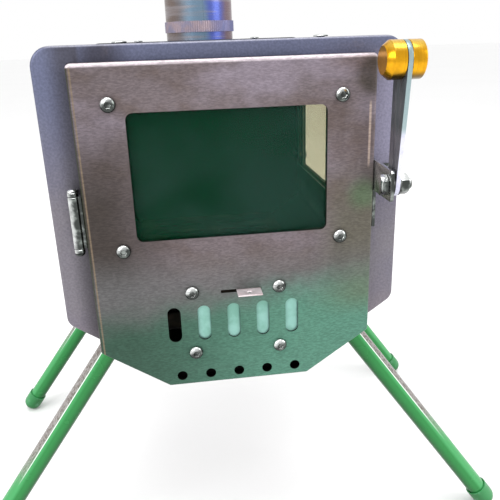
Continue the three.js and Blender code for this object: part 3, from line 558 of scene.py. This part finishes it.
def plated_finish(name, light, dark, roughness, metallic=0.95):
    """Polished plating: a painted highlight where it looks up and left, painted shade where it
    looks down.
    """
    metal = Finish(name, metallic=metallic, roughness=roughness)
    cloud = metal.noise(6, detail=4, shift=4.4)
    fine = metal.noise(0.7, 3.0, 3.0, detail=3)
    sheen = metal.band(metal.towards(-0.45, -0.12, 0.88) + cloud * 0.5 - 0.25, 0.06, 0.70)
    shade = metal.mix(dark, (0.24, 0.27, 0.25, 1), metal.band(cloud, 0.48, 0.66, 0, 0.6))
    colour = metal.mix(shade, light, sheen)
    return metal.give(Base_Color=colour, Roughness=fine * 0.12 + (roughness - 0.05),
                      Normal=metal.bump(fine, 0.02, 0.35))


def lever_finish():
    metal = Finish("zinc_plate", metallic=0.7, roughness=0.3)
    cloud = metal.noise(14, detail=4, shift=4.4)
    fine = metal.noise(0.6, 12, 0.8, detail=3)
    pale = metal.mix((0.50, 0.50, 0.62, 1), (0.66, 0.66, 0.76, 1), metal.band(cloud, 0.38, 0.62))
    teal = metal.mix(pale, (0.22, 0.33, 0.32, 1), metal.by_height(-52, -44, 0, 0.8))
    # Painted shade on the flat faces that look to the left.
    flats = metal.band(metal.towards(-1, 0, 0), 0.4, 0.7, 0, 0.75)
    colour = metal.mix(teal, (0.110, 0.110, 0.125, 1), flats)
    return metal.give(Base_Color=colour, Roughness=fine * 0.15 + 0.22,
                      Normal=metal.bump(fine, 0.03, 0.4))


def gold_finish():
    metal = Finish("gold_anodised", metallic=0.9, roughness=0.24)
    turned = metal.noise(0.22, 60, 60, detail=2)
    cloud = metal.noise(12, detail=3, shift=2.0)
    colour = metal.mix((0.74, 0.36, 0.010, 1), (0.58, 0.28, 0.008, 1), metal.band(cloud, 0.4, 0.65))
    # A painted highlight where the knob looks up and towards the front, and painted shade where it
    # looks down.
    colour = metal.mix(colour, (0.92, 0.62, 0.10, 1),
                       metal.band(metal.towards(-0.2, -0.5, 0.84), 0.80, 0.97, 0, 0.7))
    colour = metal.mix(colour, (0.045, 0.032, 0.003, 1),
                       metal.band(metal.towards(0, 0, -1), 0.45, 0.85, 0, 0.9))
    colour = metal.mix(colour, (0.30, 0.15, 0.004, 1), metal.band(turned, 0.5, 0.62, 0, 0.45))
    return metal.give(Base_Color=colour, Roughness=turned * 0.16 + 0.15,
                      Normal=metal.bump(turned, 0.03, 0.5))


def pipe_finish():
    metal = Finish("pipe_steel", metallic=0.6, roughness=0.3)
    cloud = metal.noise(16, 22, 20, detail=5, shift=9.1)
    fine = metal.noise(40, 0.5, 40, detail=3)
    across = metal.x + cloud * 0.012 - 0.006
    colour = metal.mix((0.170, 0.130, 0.115, 1), (0.160, 0.250, 0.340, 1),
                       metal.band(across, -0.030, -0.008))
    colour = metal.mix(colour, (0.085, 0.120, 0.420, 1), metal.band(across, 0.002, 0.012))
    colour = metal.mix(colour, (0.200, 0.135, 0.155, 1), metal.band(across, 0.018, 0.031))
    bands = metal.noise(90, 7, 90, detail=3, shift=6.0)
    colour = metal.mix(colour, (0.300, 0.270, 0.280, 1), metal.band(bands, 0.46, 0.64, 0, 0.65))
    upper = metal.by_height(45, 190)
    colour = metal.mix(colour, (0.330, 0.325, 0.330, 1), upper * 0.75)
    return metal.give(Base_Color=colour, Roughness=fine * 0.14 + cloud * 0.10 + 0.16,
                      Normal=metal.bump(fine, 0.03, 0.4))


def ring_finish():
    metal = Finish("ring_steel", metallic=0.6, roughness=0.32)
    cloud = metal.noise(10, 14, 12, detail=5, shift=3.3)
    colour = metal.mix((0.360, 0.280, 0.310, 1), (0.260, 0.240, 0.330, 1),
                       metal.band(cloud, 0.40, 0.62))
    colour = metal.mix(colour, (0.120, 0.150, 0.360, 1), metal.by_width(4, 20, 0, 0.6))
    return metal.give(Base_Color=colour, Roughness=cloud * 0.2 + 0.22)


def leg_finish():
    """Glossy green with painted shade below, and a painted reflection and a painted highlight along
    the upper side of each tube.
    """
    metal = Finish("leg_tube", metallic=0.1, roughness=0.25, Specular_IOR_Level=0.25)
    up = metal.towards(0, 0, 1)
    cloud = metal.noise(30, detail=3, shift=8.0)
    fine = metal.noise(1.2, 14, 1.2, detail=3, shift=2.0)
    # Painted shade: darker green where the tube looks down, lighter where it looks up.
    green = metal.mix((0.003, 0.075, 0.014, 1), (0.024, 0.205, 0.050, 1),
                      metal.band(up + cloud * 0.12, -0.50, 0.10))
    green = metal.mix(green, (0.062, 0.330, 0.110, 1), metal.band(up, 0.12, 0.34))
    upper = metal.band(metal.z + cloud * 0.04, height(-345), height(-300))
    # A painted reflection of the room along the upper side, with a thin painted highlight beside
    # it.
    painted_room_reflection = metal.mix((0.150, 0.130, 0.115, 1), (0.330, 0.310, 0.300, 1),
                       metal.band(fine, 0.40, 0.60))
    colour = metal.mix(green, painted_room_reflection, metal.band(up, 0.400, 0.420) * upper)
    painted_highlight_stripe = metal.band(up, 0.350, 0.368) * metal.band(up, 0.390, 0.408, 1, 0)
    colour = metal.mix(colour, (0.86, 0.88, 0.87, 1), painted_highlight_stripe * upper)
    return metal.give(Base_Color=colour, Roughness=cloud * 0.15 + 0.18)


def foot_finish():
    cap = Finish("foot_rubber", roughness=0.4, metallic=0.0, Specular_IOR_Level=0.3)
    cloud = cap.noise(6, detail=3, shift=1.0)
    grain = cap.noise(0.8, detail=3)
    # Painted light: the cap is lighter where it looks up and darker where it looks down.
    green = cap.mix((0.012, 0.120, 0.030, 1), (0.040, 0.250, 0.080, 1),
                    cap.band(cap.towards(0, 0, 1), -0.4, 0.5))
    colour = cap.mix(green, (0.120, 0.300, 0.180, 1), cap.band(cloud, 0.50, 0.70, 0, 0.5))
    return cap.give(Base_Color=colour, Roughness=grain * 0.2 + 0.25,
                    Normal=cap.bump(grain, 0.03, 0.3))


def damper_finish():
    metal = Finish("damper_steel", metallic=0.45, roughness=0.35)
    cloud = metal.noise(18, detail=4, shift=5.0)
    brush = metal.noise(16, 0.5, 16, detail=3)
    teal = metal.mix((0.150, 0.330, 0.265, 1), (0.220, 0.430, 0.375, 1),
                     metal.band(cloud, 0.4, 0.62))
    tab = metal.by_height(-171, -168)
    bare = metal.mix((0.62, 0.50, 0.51, 1), (0.74, 0.66, 0.68, 1), metal.band(cloud, 0.4, 0.6))
    colour = metal.mix(teal, bare, tab)
    return metal.give(Base_Color=colour, Roughness=brush * 0.2 + 0.24,
                      Normal=metal.bump(brush, 0.03, 0.4))


def glass_finish(name, colour_low, colour_high, tint, clear):
    """A film of colour on the pane; the rest of the light is passed on with a tint."""
    pane = Finish(name, roughness=0.06, metallic=0.0, Specular_IOR_Level=0.12)
    painted_reflection_haze = pane.noise(80, 60, 80, detail=2, shift=4.0)
    film = pane.noise(14, detail=3, shift=2.0)
    # Lighter patches of the film are a painted reflection.
    pane.give(Base_Color=pane.mix(colour_low, colour_high, pane.band(painted_reflection_haze, 0.40, 0.66)),
              Roughness=film * 0.06 + 0.03)
    passed = pane.node("ShaderNodeBsdfTransparent", {}, {"Color": tint})
    mixed = pane.node("ShaderNodeMixShader", {}, {0: painted_reflection_haze * 0.04 + (clear - 0.02),
                                                  1: Wire(pane, pane.shader.outputs[0]), 2: passed})
    pane.plug(pane.tree.nodes["Material Output"].inputs["Surface"], mixed)
    return pane


def rope_finish():
    tape = Finish("gasket_rope", roughness=0.9)
    weave = tape.node("ShaderNodeTexWave", {},
                      {"Vector": tape.place, "Scale": 260.0, "Distortion": 0.6})
    fuzz = tape.noise(1.5, detail=4)
    colour = tape.mix((0.26, 0.25, 0.22, 1), (0.12, 0.11, 0.10, 1), weave * 0.5 + fuzz * 0.5)
    return tape.give(Base_Color=colour, Normal=tape.bump(weave, 0.1, 0.6))


def scaled_finish():
    iron = Finish("grate_steel", metallic=0.4, roughness=0.7)
    crust = iron.noise(4, detail=5)
    cloud = iron.noise(30, detail=3, shift=3.0)
    colour = iron.mix((0.045, 0.043, 0.042, 1), (0.120, 0.095, 0.080, 1),
                      iron.band(cloud, 0.42, 0.66))
    return iron.give(Base_Color=colour, Roughness=crust * 0.3 + 0.5,
                     Normal=iron.bump(crust, 0.15, 0.5))


DOOR_STEEL = door_finish()
BODY_STEEL = body_finish()
BRIGHT = plated_finish("bright_steel", (0.74, 0.76, 0.75, 1), (0.045, 0.050, 0.047, 1), 0.2)
ZINC = lever_finish()
GOLD = gold_finish()
PIPE = pipe_finish()
RING = ring_finish()
LEG = leg_finish()
FOOT = foot_finish()
DAMPER = damper_finish()
DOOR_GLASS = glass_finish("door_glass_tint", (0.001, 0.042, 0.018, 1), (0.016, 0.062, 0.044, 1),
                          (1.0, 1.0, 0.97, 1), 0.66)
SIDE_GLASS = glass_finish("side_glass_tint", (0.60, 0.56, 0.40, 1), (0.66, 0.62, 0.46, 1),
                          (1.0, 0.95, 0.80, 1), 0.95)
ROPE = rope_finish()
SCALED = scaled_finish()


def fit(piece, body, slot, finish, *nodes):
    """Gives a finished piece its finish, its body and the nodes that it stands for."""
    piece.data.materials.clear()
    piece.data.materials.append(finish.material)
    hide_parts(*nodes)
    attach(piece, body)
    return piece


# ---- Folded sheet -------------------------------------------------------------------------------

def tray(name, corners, radii, face, depth, inwards):
    """A folded tray: a face with a round bend about it, and a flange that runs inwards from it."""
    outline = rounded(corners, radii, steps=10)
    rim = face + inwards * depth
    piece = traced(name, [ACROSS(u, v, rim) for u, v in outline], closed=True)
    step = Vector((0, -inwards * depth / 1000, 0))
    bpy.ops.mesh.extrude_region_move(TRANSFORM_OT_translate={"value": step})
    bpy.ops.mesh.region_to_loop()
    bpy.ops.mesh.bevel(offset=BEND / 1000, segments=5, affect="EDGES")
    rim_y = point(0, rim, 0).y
    choose_faces(piece, lambda side: abs(side.center.y - rim_y) < 1e-6)
    bpy.ops.mesh.inset(thickness=SHEET / 1000)
    hollow = Vector((0, -inwards * (depth - SHEET) / 1000, 0))
    bpy.ops.mesh.extrude_region_move(TRANSFORM_OT_translate={"value": hollow})
    return finish_shape(piece)


def button_screw(name, head, length):
    """A button-head screw with a hexagon socket, standing on the origin with its head upwards."""
    angles = [math.radians(i) for i in range(0, 76, 12)]
    dome = [(5.25 * math.cos(a), GAP + 0.5 + (head - 0.5) * math.sin(a)) for a in angles]
    profile = [(0, -length), (2.9, -length), (2.9, GAP), (5.1, GAP), *dome, (0, dome[-1][1])]
    screw = spun(name, profile, steps=40)
    cut(screw, plate("socket", ring_of(0, 0, 2.3, 6), LOOSE, head / 2 - 0.1, 6))
    return smooth(soften(screw, 0.12, 1, 50), 40)


SCREW = button_screw("button_screw", 3.3, 12.9)
LOW_SCREW = button_screw("low_screw", 1.8, 9)


def set_screw(kind, name, body, at, out):
    screw = lay(copy_of(kind, name + "_piece"), out, at)
    fit(screw, body, "bright_steel", BRIGHT, name)


def slot_outline(x):
    """An air slot round a place across the door, with ends that are almost half circles."""
    wide, high = SLOT_SIZE
    return rounded_box(x - wide / 2, SLOT_Z - high / 2, x + wide / 2, SLOT_Z + high / 2,
                       wide / 2 - 0.01)


def make_door_panel():
    door = tray("door_skin", DOOR_CORNERS, [DOOR_RADIUS] * 6, 0, DOOR_DEPTH, 1)
    cutters = [plate("cutter", rounded_box(*WINDOW, WINDOW_RADIUS), ACROSS, *THROUGH_DOOR)]
    for x in SLOT_XS:
        cutters.append(plate("cutter", slot_outline(x), ACROSS, *THROUGH_DOOR))
    for x in AIR_HOLE_XS:
        cutters.append(round_cutter(x, AIR_HOLE_Z, AIR_HOLE_RADIUS, ACROSS, *THROUGH_DOOR, 32))
    for x, z in WINDOW_SCREWS + DAMPER_SCREWS:
        cutters.append(round_cutter(x, z, SCREW_HOLE, ACROSS, *THROUGH_DOOR, 24))
    left, right, tab_z = TAB
    slit = rounded_box(left - DAMPER_TRAVEL - 0.6, tab_z - 1.2, right + 0.6, tab_z + 1.2, 0.4,
                       steps=2)
    cutters.append(plate("cutter", slit, ACROSS, *THROUGH_DOOR))
    cut(door, *cutters)
    hem = rounded_box(-52, 12.4, 52, 13.9, 0.4, steps=2)
    combine(door, plate("hem", hem, LEVEL, -243.4, -240.2))
    soften(door, 0.3, 2, 50)
    fit(smooth(door, 30), "door", "door_steel", DOOR_STEEL, "door_panel")


def make_body():
    front = tray("front_panel_skin", BODY_CORNERS, BODY_RADII, PANEL_Y, CAP_DEPTH, 1)
    doorway = rounded(DOOR_CORNERS, [DOOR_RADIUS + DOORWAY_INSET] * 6, inset=DOORWAY_INSET)
    cut(front, plate("cutter", doorway, ACROSS, PANEL_Y - 5, PANEL_Y + 5))
    rear = tray("rear_panel_skin", BODY_CORNERS, BODY_RADII, REAR_Y, CAP_DEPTH, -1)
    screw_xs = (-PANEL_SCREW_X, PANEL_SCREW_X)
    ends = {"front": (front, PANEL_Y + PANEL_SCREW_SETBACK),
            "rear": (rear, REAR_Y - PANEL_SCREW_SETBACK)}
    for end, (panel, y) in ends.items():
        cut(panel, *[round_cutter(x, y, SCREW_HOLE, LEVEL, *THROUGH_TOP, 24) for x in screw_xs])
        smooth(soften(panel, 0.3, 2, 50), 30)
        fit(panel, "stove_body", "body_steel", BODY_STEEL, f"{end}_panel")
        for i, x in enumerate(screw_xs):
            set_screw(LOW_SCREW, f"{end}_panel_screw_{i + 1}", "stove_body", point(x, y, BODY_TOP),
                      (0, 0, 1))
    inset = SHEET + GAP
    outline = rounded(BODY_CORNERS, BODY_RADII, inset=inset, steps=10)
    shell = plate("shell_skin", outline, ACROSS, PANEL_Y + inset, REAR_Y - inset, inset=SHEET)
    flue = round_cutter(0, FLUE_Y, COLLAR_BORE, LEVEL, *THROUGH_TOP, 64)
    window = plate("cutter", rounded_box(*SIDE_WINDOW, 3), ALONG, *THROUGH_SIDE)
    holes = [round_cutter(x, y, SCREW_HOLE, LEVEL, *THROUGH_TOP, 24)
             for x in screw_xs for _, y in ends.values()]
    holes += [round_cutter(y, z, SCREW_HOLE, ALONG, *THROUGH_SIDE, 24) for y, z in SIDE_SCREWS]
    cut(shell, flue, window, *holes)
    smooth(soften(shell, 0.25, 2, 50), 30)
    fit(shell, "stove_body", "body_steel", BODY_STEEL, "body_shell")
    for i, (y, z) in enumerate(SIDE_SCREWS):
        set_screw(SCREW, f"side_window_screw_{i + 1}", "stove_body", point(SIDE_FRAME_FACE, y, z),
                  (1, 0, 0))


def grown(opening, radius):
    """A window's opening made larger by what the glass reaches past it."""
    left, low, right, high = opening
    return rounded_box(left - GLASS_MARGIN, low - GLASS_MARGIN, right + GLASS_MARGIN,
                       high + GLASS_MARGIN, radius)


def make_glass():
    pane = plate("door_glass_pane", grown(WINDOW, WINDOW_RADIUS), ACROSS, *DOOR_GLASS_Y)
    fit(smooth(soften(pane, 0.5, 2, 50)), "door", "stove_glass", DOOR_GLASS, "door_glass")
    pane = plate("side_glass_pane", grown(SIDE_WINDOW, 6), ALONG, *SIDE_GLASS_X)
    fit(smooth(soften(pane, 0.5, 2, 50)), "stove_body", "stove_glass", SIDE_GLASS,
        "side_window_glass")


def make_damper():
    left, right, tab_z = TAB
    front, back = DAMPER_Y
    half_wide, half_high = SLOT_SIZE[0] / 2, SLOT_SIZE[1] / 2
    outline = rounded_box(SLOT_XS[0] + half_wide + DAMPER_TRAVEL + 0.9, SLOT_Z - half_high - 4.2,
                          SLOT_XS[-1] + DAMPER_TRAVEL + half_wide + 5, SLOT_Z + half_high + 4.2, 1,
                          steps=3)
    body = plate("damper_slide_plate", outline, ACROSS, front, back)
    cutters = [plate("cutter", slot_outline(x + DAMPER_TRAVEL), ACROSS, 0, 5) for x in SLOT_XS[1:]]
    cut(body, *cutters)
    half = (back - front) / 2
    bend = [(back, -175), (back, tab_z + 0.2), (back - 0.4, tab_z + half),
            (0.8 - TAB_REACH, tab_z + half), (-TAB_REACH, tab_z + 0.2), (-TAB_REACH, tab_z - 0.2),
            (0.8 - TAB_REACH, tab_z - half), (front, tab_z - half), (front, -175)]
    tab = plate("tab", bend, ALONG, left, right)
    hole = round_cutter((left + right) / 2, -TAB_REACH / 2, 2, LEVEL, tab_z - 3, tab_z + 3, 32)
    cut(tab, hole)
    combine(body, tab)
    smooth(soften(body, 0.2, 2, 50))
    fit(body, "damper", "damper_steel", DAMPER, "damper_plate")


# ---- Turned and bent fittings -------------------------------------------------------------------

def hexagon_head(name, flats, high, domed=True):
    """A hexagon with the round chamfer of a bolt head, standing on the origin."""
    across = flats / math.sqrt(3)
    head = plate(name, ring_of(0, 0, across, 6), LOOSE, 0, high)
    low = 0 if domed else -0.1
    chamfer = [(0, low), (across - (0 if domed else 1.0), low), (across, 0.7), (across, high - 1.0),
               (flats / 2 - 0.6, high), (0, high)]
    return combine(head, spun("chamfer", chamfer, 48), "INTERSECT")


def make_hinge():
    x, y = HINGE
    low, high = BARREL
    bore = PIN_RADIUS + RUNNING_FIT
    barrel = chamfered_ring("hinge_barrel_piece", bore, BARREL_RADIUS, high - low, 0.3, 48)
    lay(barrel, (0, 0, 1), point(x, y, low))
    leaf = plate("leaf", rounded_box(-107.8, 3, -105.8, 13, 0.3, steps=2), LEVEL, low, high)
    inner_end = x + bore + 0.4
    arm = plate("arm", [(inner_end, 3), (-107, 3), (-107, 5.5), (inner_end, 5.5)], LEVEL, low, high)
    combine(combine(barrel, leaf), arm)
    fit(smooth(barrel), "door", "bright_steel", BRIGHT, "hinge_door_barrel")
    for name, z in (("upper", high + GAP), ("lower", low - GAP - KNUCKLE_HIGH)):
        ring = chamfered_ring(f"hinge_knuckle_{name}_piece", bore, BARREL_RADIUS, KNUCKLE_HIGH,
                              0.35, 48)
        lay(ring, (0, 0, 1), point(x, y, z))
        outline = [(x - 3, y + 2.45), (x + 2.5, y + 2.8), (x + 2.5, 14.1), (x - 3, 14.1)]
        foot = plate("foot", outline, LEVEL, z + 0.1, z + KNUCKLE_HIGH - 0.1)
        combine(ring, foot)
        fit(smooth(ring), "stove_body", "bright_steel", BRIGHT, f"hinge_knuckle_{name}")
    top = high - low + KNUCKLE_HIGH + 2 * GAP
    bottom = -KNUCKLE_HIGH - 2 * GAP
    dome = [(3.61 * math.cos(math.radians(i)), 2.3 * math.sin(math.radians(i)))
            for i in (0, 20, 40, 60, 78)]
    pin = [(0, bottom - dome[-1][1]), *[(r, bottom - h) for r, h in reversed(dome)],
           (PIN_RADIUS, bottom), (PIN_RADIUS, top), *[(r, top + h) for r, h in dome],
           (0, top + dome[-1][1])]
    pin = lay(spun("hinge_pin_piece", pin, 48), (0, 0, 1), point(x, y, low))
    fit(smooth(pin), "stove_body", "bright_steel", BRIGHT, "hinge_pin")


def lever_outline():
    """The bar: an eye at the pivot, a disc at the knob and straight sides that touch both."""
    py, pz = PIVOT
    ky, kz = KNOB
    eye, disc = 8, 12.3
    along = math.atan2(kz - pz, ky - py)
    quarter = math.pi / 2 + math.asin((disc - eye) / math.hypot(ky - py, kz - pz))
    points = []
    for (y, z), radius, start, end in ((PIVOT, eye, along + quarter, along + 2 * math.pi - quarter),
                                       (KNOB, disc, along - quarter, along + quarter)):
        turns = [start + (end - start) * i / 30 for i in range(31)]
        points += [(y + radius * math.cos(a), z + radius * math.sin(a)) for a in turns]
    return points


def make_handle():
    py, pz = PIVOT
    ky, kz = KNOB
    x0, x1 = LEVER_X
    lever = plate("lever_bar", lever_outline(), ALONG, x0, x1)
    nose = plate("nose", rounded_box(py, pz - 5.5, py + 37, pz + 5.5, 1.5, steps=4), ALONG, x0, x1)
    combine(lever, nose)
    cut(lever, round_cutter(py, pz, 4.1, ALONG, x0 - 1, x1 + 1),
        round_cutter(ky, kz, 3.2, ALONG, x0 - 1, x1 + 1))
    fit(smooth(soften(lever, 0.35, 2, 50)), "handle", "zinc_plate", ZINC, "handle_lever")

    outline = [(2, -124), (13, -124), (13, -72.7), (0, -72.7), (-32.5, -74), (-34, -75.5),
               (-34, -94), (-32.5, -95.5), (2, -95.5)]
    bracket = plate("bracket_plate", outline, ALONG, 105.8, 108.3)
    cut(bracket, round_cutter(py, pz, BOLT_HOLE, ALONG, 105, 109.5))
    fit(smooth(soften(bracket, 0.35, 2, 50)), "door", "bright_steel", BRIGHT, "handle_bracket")

    right = (1, 0, 0)
    left = (-1, 0, 0)
    bolt = hexagon_head("pivot_bolt", 13, 5.3)
    shank = spun("shank", [(0, -17.6), (3.4, -17.6), (4, -16.9), (4, 0.5), (0, 0.5)], 48)
    combine(bolt, shank)
    lay(bolt, left, point(105.5, py, pz))
    fit(smooth(soften(bolt, 0.15, 1, 50)), "door", "bright_steel", BRIGHT, "handle_bolt")
    nut = hexagon_head("pivot_nut", 13, 6.5, domed=False)
    cut(nut, round_cutter(0, 0, BOLT_HOLE, LOOSE, -1, 8))
    lay(nut, right, point(114.1, py, pz))
    fit(smooth(soften(nut, 0.15, 1, 50)), "door", "bright_steel", BRIGHT, "handle_nut")
    for name, x in (("inner", 108.6), ("outer", 113.0)):
        washer = chamfered_ring(f"washer_{name}", BOLT_HOLE, 8, 0.8, 0.15)
        lay(washer, right, point(x, py, pz))
        fit(smooth(washer), "door", "bright_steel", BRIGHT, f"handle_washer_{name}")

    inner = [(3.2, 0), (12.1, 0), (12.4, 0.3), (12.4, 8.3), (12.25, 8.6), (9.15, 12.3), (8.9, 12.5),
             (0, 12.5), (0, 9.5), (3.2, 9.5), (3.2, 0)]
    outer = [(3.2, 0), (12.1, 0), (12.4, 0.3), (12.4, 8.5), (12.3, 8.8), (11.6, 9.45), (11.4, 9.5),
             (5.6, 9.5), (5.3, 9.2), (5.3, 4.5), (3.2, 4.5), (3.2, 0)]
    for name, profile, out, x in (("inner", inner, left, 109.4), ("outer", outer, right, 113.0)):
        half = lay(spun(f"knob_{name}_half", profile, 72), out, point(x, ky, kz))
        fit(smooth(half, 25), "handle", "gold_anodised", GOLD, f"knob_{name}")
    profile = [(0, -16.9), (2.9, -16.9), (2.9, 0), (4.8, 0), (5, 0.2), (5, 3.7), (4.7, 4), (0, 4)]
    screw = spun("knob_bolt", profile, 40)
    cut(screw, plate("socket", ring_of(0, 0, 2.9, 6), LOOSE, 1.6, 6))
    lay(screw, right, point(117.8, ky, kz))
    fit(smooth(screw), "handle", "bright_steel", BRIGHT, "knob_screw")


def make_flue():
    profile = [(COLLAR_BORE, 11.7), (44.5, 11.7), (44.7, 11.9), (44.7, 13.0), (44.5, BODY_TOP),
               (36, BODY_TOP), (35.1, 13.6), (34.7, 14.4), (34.7, 35.5), (34.5, 35.7), (33.4, 35.7),
               (COLLAR_BORE, 35.5), (COLLAR_BORE, 11.7)]
    collar = lay(spun("flue_spigot", profile, 96), (0, 0, 1), point(0, FLUE_Y, 0))
    fit(smooth(collar, 30), "stove_body", "body_steel", BODY_STEEL, "flue_collar")

    seam = -math.pi / 2 + 0.07
    step_out = 0.5
    steps = 120

    def spiral(radius):
        """Almost a whole turn that ends a little further out, so that a seam shows."""
        places = []
        for i in range(steps + 1):
            turn = i / steps
            angle = seam + 2 * math.pi * turn * 0.9995
            reach = radius + step_out * turn
            places.append((reach * math.cos(angle), FLUE_Y + reach * math.sin(angle)))
        return places

    wall = spiral(PIPE_RADIUS) + spiral(PIPE_RADIUS - 0.8)[::-1]
    pipe = plate("flue_tube", wall, LEVEL, PIPE_BOTTOM, PIPE_BOTTOM + PIPE_LENGTH)
    fit(smooth(pipe, 40), "flue", "pipe_steel", PIPE, "flue_pipe")

    waves = 96
    count = waves * 6
    rim = []
    for i in range(count):
        angle = 2 * math.pi * i / count
        radius = 37.45 + 0.22 * math.cos(waves * angle)
        rim.append((radius * math.cos(angle), FLUE_Y + radius * math.sin(angle)))
    low = PIPE_BOTTOM + 8
    ring = plate("crimped_ring", rim, LEVEL, low, low + 11)
    cut(ring, round_cutter(0, FLUE_Y, 36.8, LEVEL, low - 1, low + 12, 120))
    fit(smooth(ring, 40), "flue", "pipe_steel", RING, "pipe_ring")


def make_legs():
    slope, splay = LEG_SLOPE
    radius = LEG_RADIUS
    bore = radius + GAP
    foot_radius = bore + FOOT_WALL
    for end, way in (("front", -1), ("rear", 1)):
        for side, across in (("left", -1), ("right", 1)):
            place = f"{end}_{side}"
            root = point(across * LEG_ROOT[0], LEG_ROOT_Y[end], LEG_ROOT[1])
            down = Vector((across * slope, way * splay, -1)).normalized()
            tip = (LEG_ROOT[1] - FLOOR - (radius + GAP + 0.5)) / -down.z
            end_of_tube = tip - 1.3
            tube = [(0, 3.3), (4.3, 3.3), (4.7, 3.7), (4.7, 14.3), (radius - 0.4, 14.3),
                    (radius, 14.7), (radius, end_of_tube), (radius - LEG_WALL, end_of_tube),
                    (radius - LEG_WALL, 20.3), (0, 20.3)]
            leg = lay(spun(f"leg_tube_{place}", tube, 64), down, root)
            fit(smooth(leg), f"leg_{place}", "leg_tube", LEG, f"leg_{place}")
            inside = end_of_tube + GAP
            mouth = inside - FOOT_DEPTH
            dome = [(foot_radius * math.cos(a), tip + foot_radius * math.sin(a))
                    for a in (math.radians(i) for i in range(0, 90, 10))]
            cap = [(0, inside), (bore, inside), (bore, mouth + 0.4), (bore + 0.3, mouth),
                   (foot_radius - 0.3, mouth), (foot_radius, mouth + 0.4), *dome,
                   (0, tip + foot_radius)]
            foot = lay(spun(f"foot_cap_{place}", cap, 56), down, root)
            bisect(foot, (0, 0, JUST_ABOVE_FLOOR), (0, 0, 1))
            fit(smooth(foot), f"leg_{place}", "foot_rubber", FOOT, f"foot_{place}")
            boss = [(5, 14), (10.6, 14), (11, 13.6), (11, -12), (5, -12), (5, 14)]
            socket = lay(spun(f"leg_boss_{place}", boss, 56), down, root)
            out = Vector((across * math.sin(CHAMFER_ANGLE), 0, -math.cos(CHAMFER_ANGLE)))
            bisect(socket, root - out * SHEET / 1000, out)
            fit(smooth(socket), "stove_body", "bright_steel", BRIGHT, f"leg_socket_{place}")


make_door_panel()
make_body()
make_glass()
make_damper()
make_hinge()
make_handle()
make_flue()
make_legs()
for i, (x, z) in enumerate(WINDOW_SCREWS):
    set_screw(SCREW, f"door_glass_screw_{i + 1}", "door", point(x, 0, z), (0, -1, 0))
for i, (x, z) in enumerate(DAMPER_SCREWS):
    set_screw(SCREW, f"damper_screw_{i + 1}", "door", point(x, 0, z), (0, -1, 0))
for pattern in (SCREW, LOW_SCREW):
    bpy.data.objects.remove(pattern)

# Pieces that keep the mesh of the frame and only get a finish.
KEPT = {
    "door_glass_gasket": ROPE, "side_window_gasket": ROPE, "door_glass_frame": DOOR_STEEL,
    "damper_strap_left": DOOR_STEEL, "damper_strap_right": DOOR_STEEL,
    "side_window_frame": BODY_STEEL,
    "fire_grate": SCALED, "latch_keeper": BRIGHT,
}
for name, finish in KEPT.items():
    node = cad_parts[name]
    node.data.materials.clear()
    node.data.materials.append(finish.material)

# ---- Floor, light and camera --------------------------------------------------------------------

FLOOR_SIZE = 40

deselect()
bpy.ops.mesh.primitive_plane_add(size=1, location=(0, 1.0, -0.0005))
floor = bpy.context.object
floor.name = "studio_floor"
floor.scale = (FLOOR_SIZE, FLOOR_SIZE, 1)
bpy.ops.object.transform_apply(location=True, rotation=True, scale=True)
paper = Finish("studio_paper", roughness=0.9)
tone = paper.noise(900, detail=1)
paper.give(Base_Color=paper.mix((0.94, 0.94, 0.94, 1), (0.97, 0.97, 0.97, 1), tone))
floor.data.materials.append(paper.material)

world = bpy.data.worlds.new("studio")
bpy.context.scene.world = world
world.use_nodes = True
world.node_tree.nodes["Background"].inputs["Color"].default_value = (1.0, 1.0, 1.0, 1)
world.node_tree.nodes["Background"].inputs["Strength"].default_value = 1.0


def soft_light(name, at, aim, size, watts):
    data = bpy.data.lights.new(name, "AREA")
    data.shape = "RECTANGLE"
    data.size, data.size_y = size
    data.energy = watts
    lamp = bpy.data.objects.new(name, data)
    bpy.context.scene.collection.objects.link(lamp)
    lamp.location = at
    lamp.rotation_mode = "QUATERNION"
    lamp.rotation_quaternion = (Vector(aim) - Vector(at)).to_track_quat("-Z", "Y")


soft_light("window_left", (-1.6, -1.5, 1.5), (0, 0, 0.35), (1.4, 1.2), 26)
soft_light("window_right", (1.8, -0.9, 1.1), (0, 0, 0.35), (0.9, 1.2), 12)
soft_light("overhead", (0.1, -0.3, 2.2), (0, 0, 0.3), (1.6, 1.2), 18)

CAMERA_PLACE = (-40.162, -411.652, 14.305)
CAMERA_PAN, CAMERA_TILT, CAMERA_ROLL = (math.radians(a) for a in (7.193, 19.763, -1.877))
FOCAL_PIXELS = 591.17
PICTURE_PIXELS = 500
SENSOR_WIDTH = 36

eye = bpy.data.cameras.new("photo_view")
eye.lens = FOCAL_PIXELS / PICTURE_PIXELS * SENSOR_WIDTH
eye.sensor_width = SENSOR_WIDTH
eye.sensor_fit = "HORIZONTAL"
eye.clip_start = 0.01
camera = bpy.data.objects.new("photo_view", eye)
bpy.context.scene.collection.objects.link(camera)
level = math.cos(CAMERA_TILT)
sight = Vector((math.sin(CAMERA_PAN) * level, math.cos(CAMERA_PAN) * level, -math.sin(CAMERA_TILT)))
across = Vector((math.cos(CAMERA_PAN), -math.sin(CAMERA_PAN), 0))
above = across.cross(sight)
cosine, sine = math.cos(CAMERA_ROLL), math.sin(CAMERA_ROLL)
right, up = cosine * across + sine * above, cosine * above - sine * across
turned = Matrix((right, up, -sight)).transposed()
camera.matrix_world = Matrix.Translation(point(*CAMERA_PLACE)) @ turned.to_4x4()
bpy.context.scene.camera = camera
bpy.context.scene.view_settings.view_transform = "Standard"
